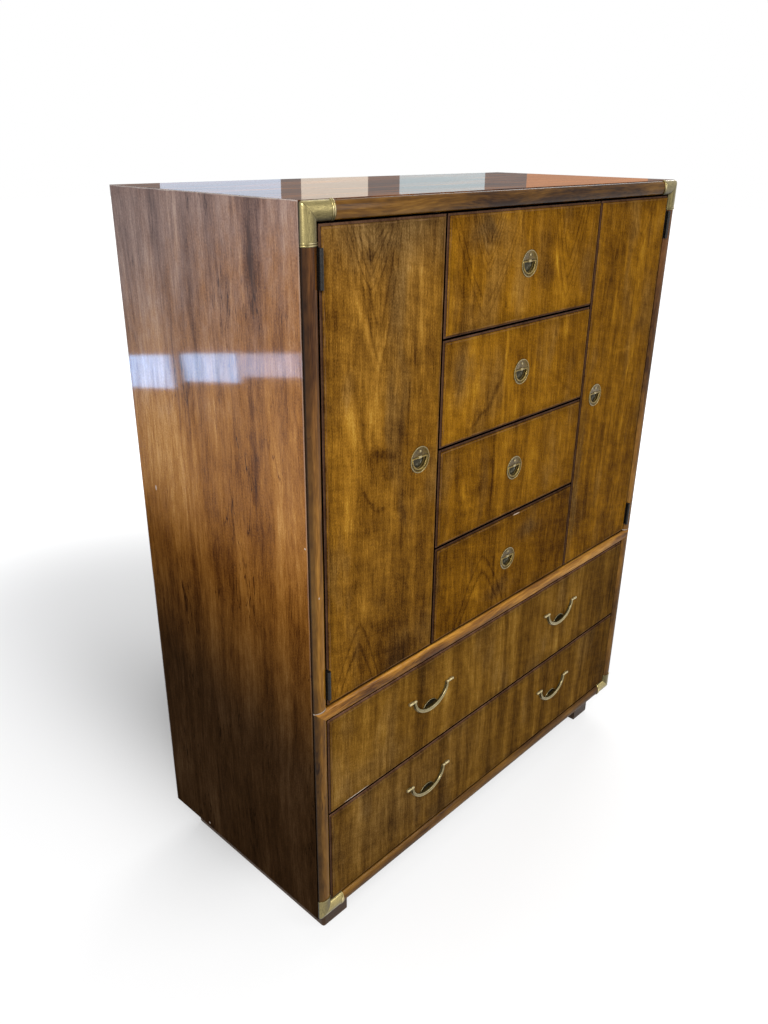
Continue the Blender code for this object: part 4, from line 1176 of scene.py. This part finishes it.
def crescent_plate(name, node, body, pivot, stand, steps=48):
    """A crescent plate with a half-moon cup, and the two posts that carry the bail's pins."""
    bm = bmesh.new()
    far = Vector((0, plate_far, 0))
    near = Vector((0, plate_near, 0))
    edge = near + Vector((0, plate_edge, 0))
    rings = []
    for step in range(steps + 1):
        angle = math.pi * step / steps
        outer = Vector((plate_outer[0] * math.cos(angle), 0, -plate_outer[1] * math.sin(angle)))
        inner = Vector((plate_inner[0] * math.cos(angle), 0, -plate_inner[1] * math.sin(angle)))
        way = (outer - inner).normalized() * plate_edge
        rings.append([
            inner + far, inner + edge, inner + way + near, outer - way + near, outer + edge, outer + far,
        ])
    skin(bm, rings)
    centre = (0, 0, moon_base + 0.007)
    rim = 0.0015

    def moon(extra, share=1.0):
        return moon_shape((moon_half + extra) * share, (moon_rise + 2 * extra) * share, moon_base - extra)

    rings = [
        cast(moon(-0.006, 0.7), centre, 0.0088),
        cast(moon(-0.002), centre, 0.0080),
        cast(moon(-0.0004), centre, 0.0060),
        cast(moon(0.0), centre, -0.0012),
        cast(moon(0.0005), centre, -0.0019),
        cast(moon(rim - 0.0004), centre, -0.0020),
        cast(moon(rim), centre, -0.0013),
        cast(moon(rim), centre, -0.0003),
        cast(moon(0.001), centre, -0.0002),
        cast(moon(0.001), centre, 0.0098),
    ]
    skin(bm, rings)
    put(bm, pivot)
    new_object(name, bm, plate_brass, body, node)
    bm = bmesh.new()
    for side in (-1, 1):
        round_bar(bm, side * knob_place, -stand, knob_radius, 0.0128, 0.0009)
        block(bm, (0.0105, stand - 0.001, 0.0048), (side * post_place, -stand / 2 - 0.0003, 0))
    put(bm, pivot)
    new_object(name + "_ends", bm, end_brass, body)


def crescent_bail(name, node, body, pivot, steps=56):
    """A bail with a ribbed face, widest at its middle, with its pins and a knob over each."""
    bm = bmesh.new()
    section = (
        (-1.0, 0.1), (-0.92, 0.75), (-0.72, 1.0), (-0.52, 0.70), (0.0, 0.60), (0.52, 0.70), (0.72, 1.0),
        (0.92, 0.75), (1.0, 0.1), (0.85, -0.7), (0.3, -1.0), (-0.3, -1.0), (-0.85, -0.7),
    )
    rings = []
    for step in range(steps + 1):
        angle = bail_start + (math.pi - 2 * bail_start) * step / steps
        point = Vector((bail_half * math.cos(angle), 0, -bail_drop * math.sin(angle)))
        normal = Vector((math.cos(angle) / bail_half, 0, -math.sin(angle) / bail_drop)).normalized()
        wide = 0.0022 + 0.0019 * math.sin(angle) ** 1.4
        deep = 0.0020 + 0.0003 * math.sin(angle)
        rings.append([
            point + normal * (wide * share) + Vector((0, -deep * front, 0)) for share, front in section
        ])
    skin(bm, rings)
    for side in (-1, 1):
        round_bar(bm, side * 0.0560, 0, 0.0014, 0.0100, 0.0002, 14)
    put(bm, pivot)
    new_object(name, bm, bail_brass, body, node, 50.0)
    bm = bmesh.new()
    for side in (-1, 1):
        round_bar(bm, side * 0.0492, 0, knob_radius, 0.0074, 0.0007)
    put(bm, pivot)
    new_object(name + "_ends", bm, end_brass, body)


for stem, parent, child, pivot, spot in hinges("_bail"):
    crescent_plate(stem + "_crescent_plate", stem + "_pull_plate", parent, spot, front_y - pivot.y)
    crescent_bail(stem + "_crescent_bail", stem + "_bail", child, pivot)


# Hinges keep their CAD shapes
for name in nodes:
    if name.endswith("_leaf"):
        set_material(name, steel)


# Stage, lights and camera
camera_spot = Vector((-1.30847, front_y - 0.88408, 1.45069))
camera_turn = (66.2374, -0.6061, -46.4649)
mirror_height = 1.62
long_shadow = (-0.376, 2.290, 0.779, 2.000, -0.455, -0.381)
close_shadow = (-0.219, 0.217, 0.258, 0.639, -0.700, -0.074)


def seen_rays(graph):
    """1 for rays that show a surface straight, in a mirror or through glass, and 0 for the rest."""
    outputs = graph.node("LightPath").socket.node.outputs
    seen = Value(graph, outputs["Is Camera Ray"])
    for kind in ("Is Glossy Ray", "Is Transmission Ray"):
        seen = seen.math("MAXIMUM", Value(graph, outputs[kind]))
    return seen


def floor_material():
    """A pale floor that glows white away from the chest, with the soft shadow that lies behind it."""
    graph = Graph("pale_floor")
    graph.set(Base_Color=(0.36, 0.36, 0.36, 1.0), Roughness=0.9, Specular_IOR_Level=0.0)
    x, y, z = graph.place()
    reach = (x * x + y * y) ** 0.5
    shade = patch(x, y, long_shadow) + patch(x, y, close_shadow)
    shade = shade * graph.fade(x, 0.25, 0.95) * graph.ease(y, -0.10, 0.12) * graph.fade(reach, 1.4, 2.7)
    strength = seen_rays(graph) * (graph.ease(reach, 0.9, 2.4) * 0.5 + 0.69 + shade)
    glow = graph.node("Emission", None, {"Color": (1, 1, 1, 1), "Strength": strength})
    both = graph.node("AddShader", None, {0: Value(graph, graph.shader.outputs[0]), 1: glow})
    graph.tree.links.new(both.socket, graph.output.inputs["Surface"])
    return graph.material


def link(item):
    bpy.context.scene.collection.objects.link(item)


bm = bmesh.new()
bmesh.ops.create_grid(bm, x_segments=1, y_segments=1, size=20)
mesh = bpy.data.meshes.new("studio_floor")
bm.to_mesh(mesh)
bm.free()
mesh.materials.append(floor_material())
floor = bpy.data.objects.new("studio_floor", mesh)
link(floor)


class Backdrop(Graph):
    """The node tree of the world: white to see, and dimmer as a light."""

    def __init__(self, world):
        world.use_nodes = True
        self.tree = world.node_tree
        background = self.tree.nodes["Background"]
        background.inputs["Color"].default_value = (1, 1, 1, 1)
        self.feed(background.inputs["Strength"], seen_rays(self) * 0.75 + 0.25)


bpy.context.scene.world = bpy.data.worlds.new("studio")
Backdrop(bpy.context.scene.world)


def area_light(name, place, way, width, height, power, colour=(1, 1, 1), tilt=0.0):
    """A lamp that shines along a way, turned by a tilt in degrees about the X axis."""
    data = bpy.data.lights.new(name, "AREA")
    data.shape = "RECTANGLE"
    data.size = width
    data.size_y = height
    data.energy = power
    data.color = colour
    light = bpy.data.objects.new(name, data)
    light.location = Vector(place)
    turn = Vector(way).to_track_quat("-Z", "Y").to_matrix().to_4x4()
    light.rotation_euler = (Matrix.Rotation(math.radians(tilt), 4, "X") @ turn).to_euler()
    light.visible_camera = False
    link(light)


for name, place, target, width, power in (
    ("key", (-1.75, -1.40, 2.00), (-0.45, -0.20, 0.95), 0.9, 50),
    ("right_soft", (2.80, 1.20, 2.60), (0.0, 0.0, 0.6), 1.8, 60),
    ("front_fill", (1.20, -2.60, 1.80), (0.1, -0.2, 0.8), 1.4, 16),
    ("top_soft", (0.2, 0.2, 3.2), (0.0, 0.0, 1.0), 1.8, 20),
):
    area_light(name, place, Vector(target) - Vector(place), width, width, power)

# Panes that the polished left side mirrors as a pale band
for name, y, z, width, height, power, colour in (
    ("pane_back", 2.63, 0.36, 0.43, 0.165, 3.6, (0.31, 0.58, 1.0)),
    ("pane_middle", 2.10, 0.475, 0.45, 0.130, 3.1, (0.33, 0.60, 1.0)),
    ("pane_front", 1.66, 0.565, 0.42, 0.100, 1.5, (0.56, 0.68, 1.0)),
):
    area_light(name, (-2.0, y, z), (1, 0, 0), width, height, power, colour, -9.9)

# Panes that the top mirrors
for name, x, y, width, power, colour in (
    ("pane_left", 1.36, 2.51, 0.58, 4.0, (0.62, 0.78, 1.0)),
    ("pane_cream", 1.78, 2.15, 0.33, 1.9, (1.0, 0.88, 0.72)),
    ("pane_blue", 2.15, 1.77, 0.42, 2.2, (0.66, 0.88, 0.95)),
    ("pane_amber", 2.55, 1.20, 0.57, 2.1, (1.0, 0.32, 0.02)),
):
    way = (camera_spot.x - x, camera_spot.y - y, 0)
    area_light(name, (x, y, mirror_height), way, width, 0.60, power, colour)

camera_data = bpy.data.cameras.new("camera")
camera_data.lens = 29.874
camera_data.sensor_width = 36.0
camera = bpy.data.objects.new("camera", camera_data)
camera.location = camera_spot
camera.rotation_euler = [math.radians(angle) for angle in camera_turn]
link(camera)
bpy.context.scene.camera = camera
bpy.context.scene.view_settings.view_transform = "Standard"
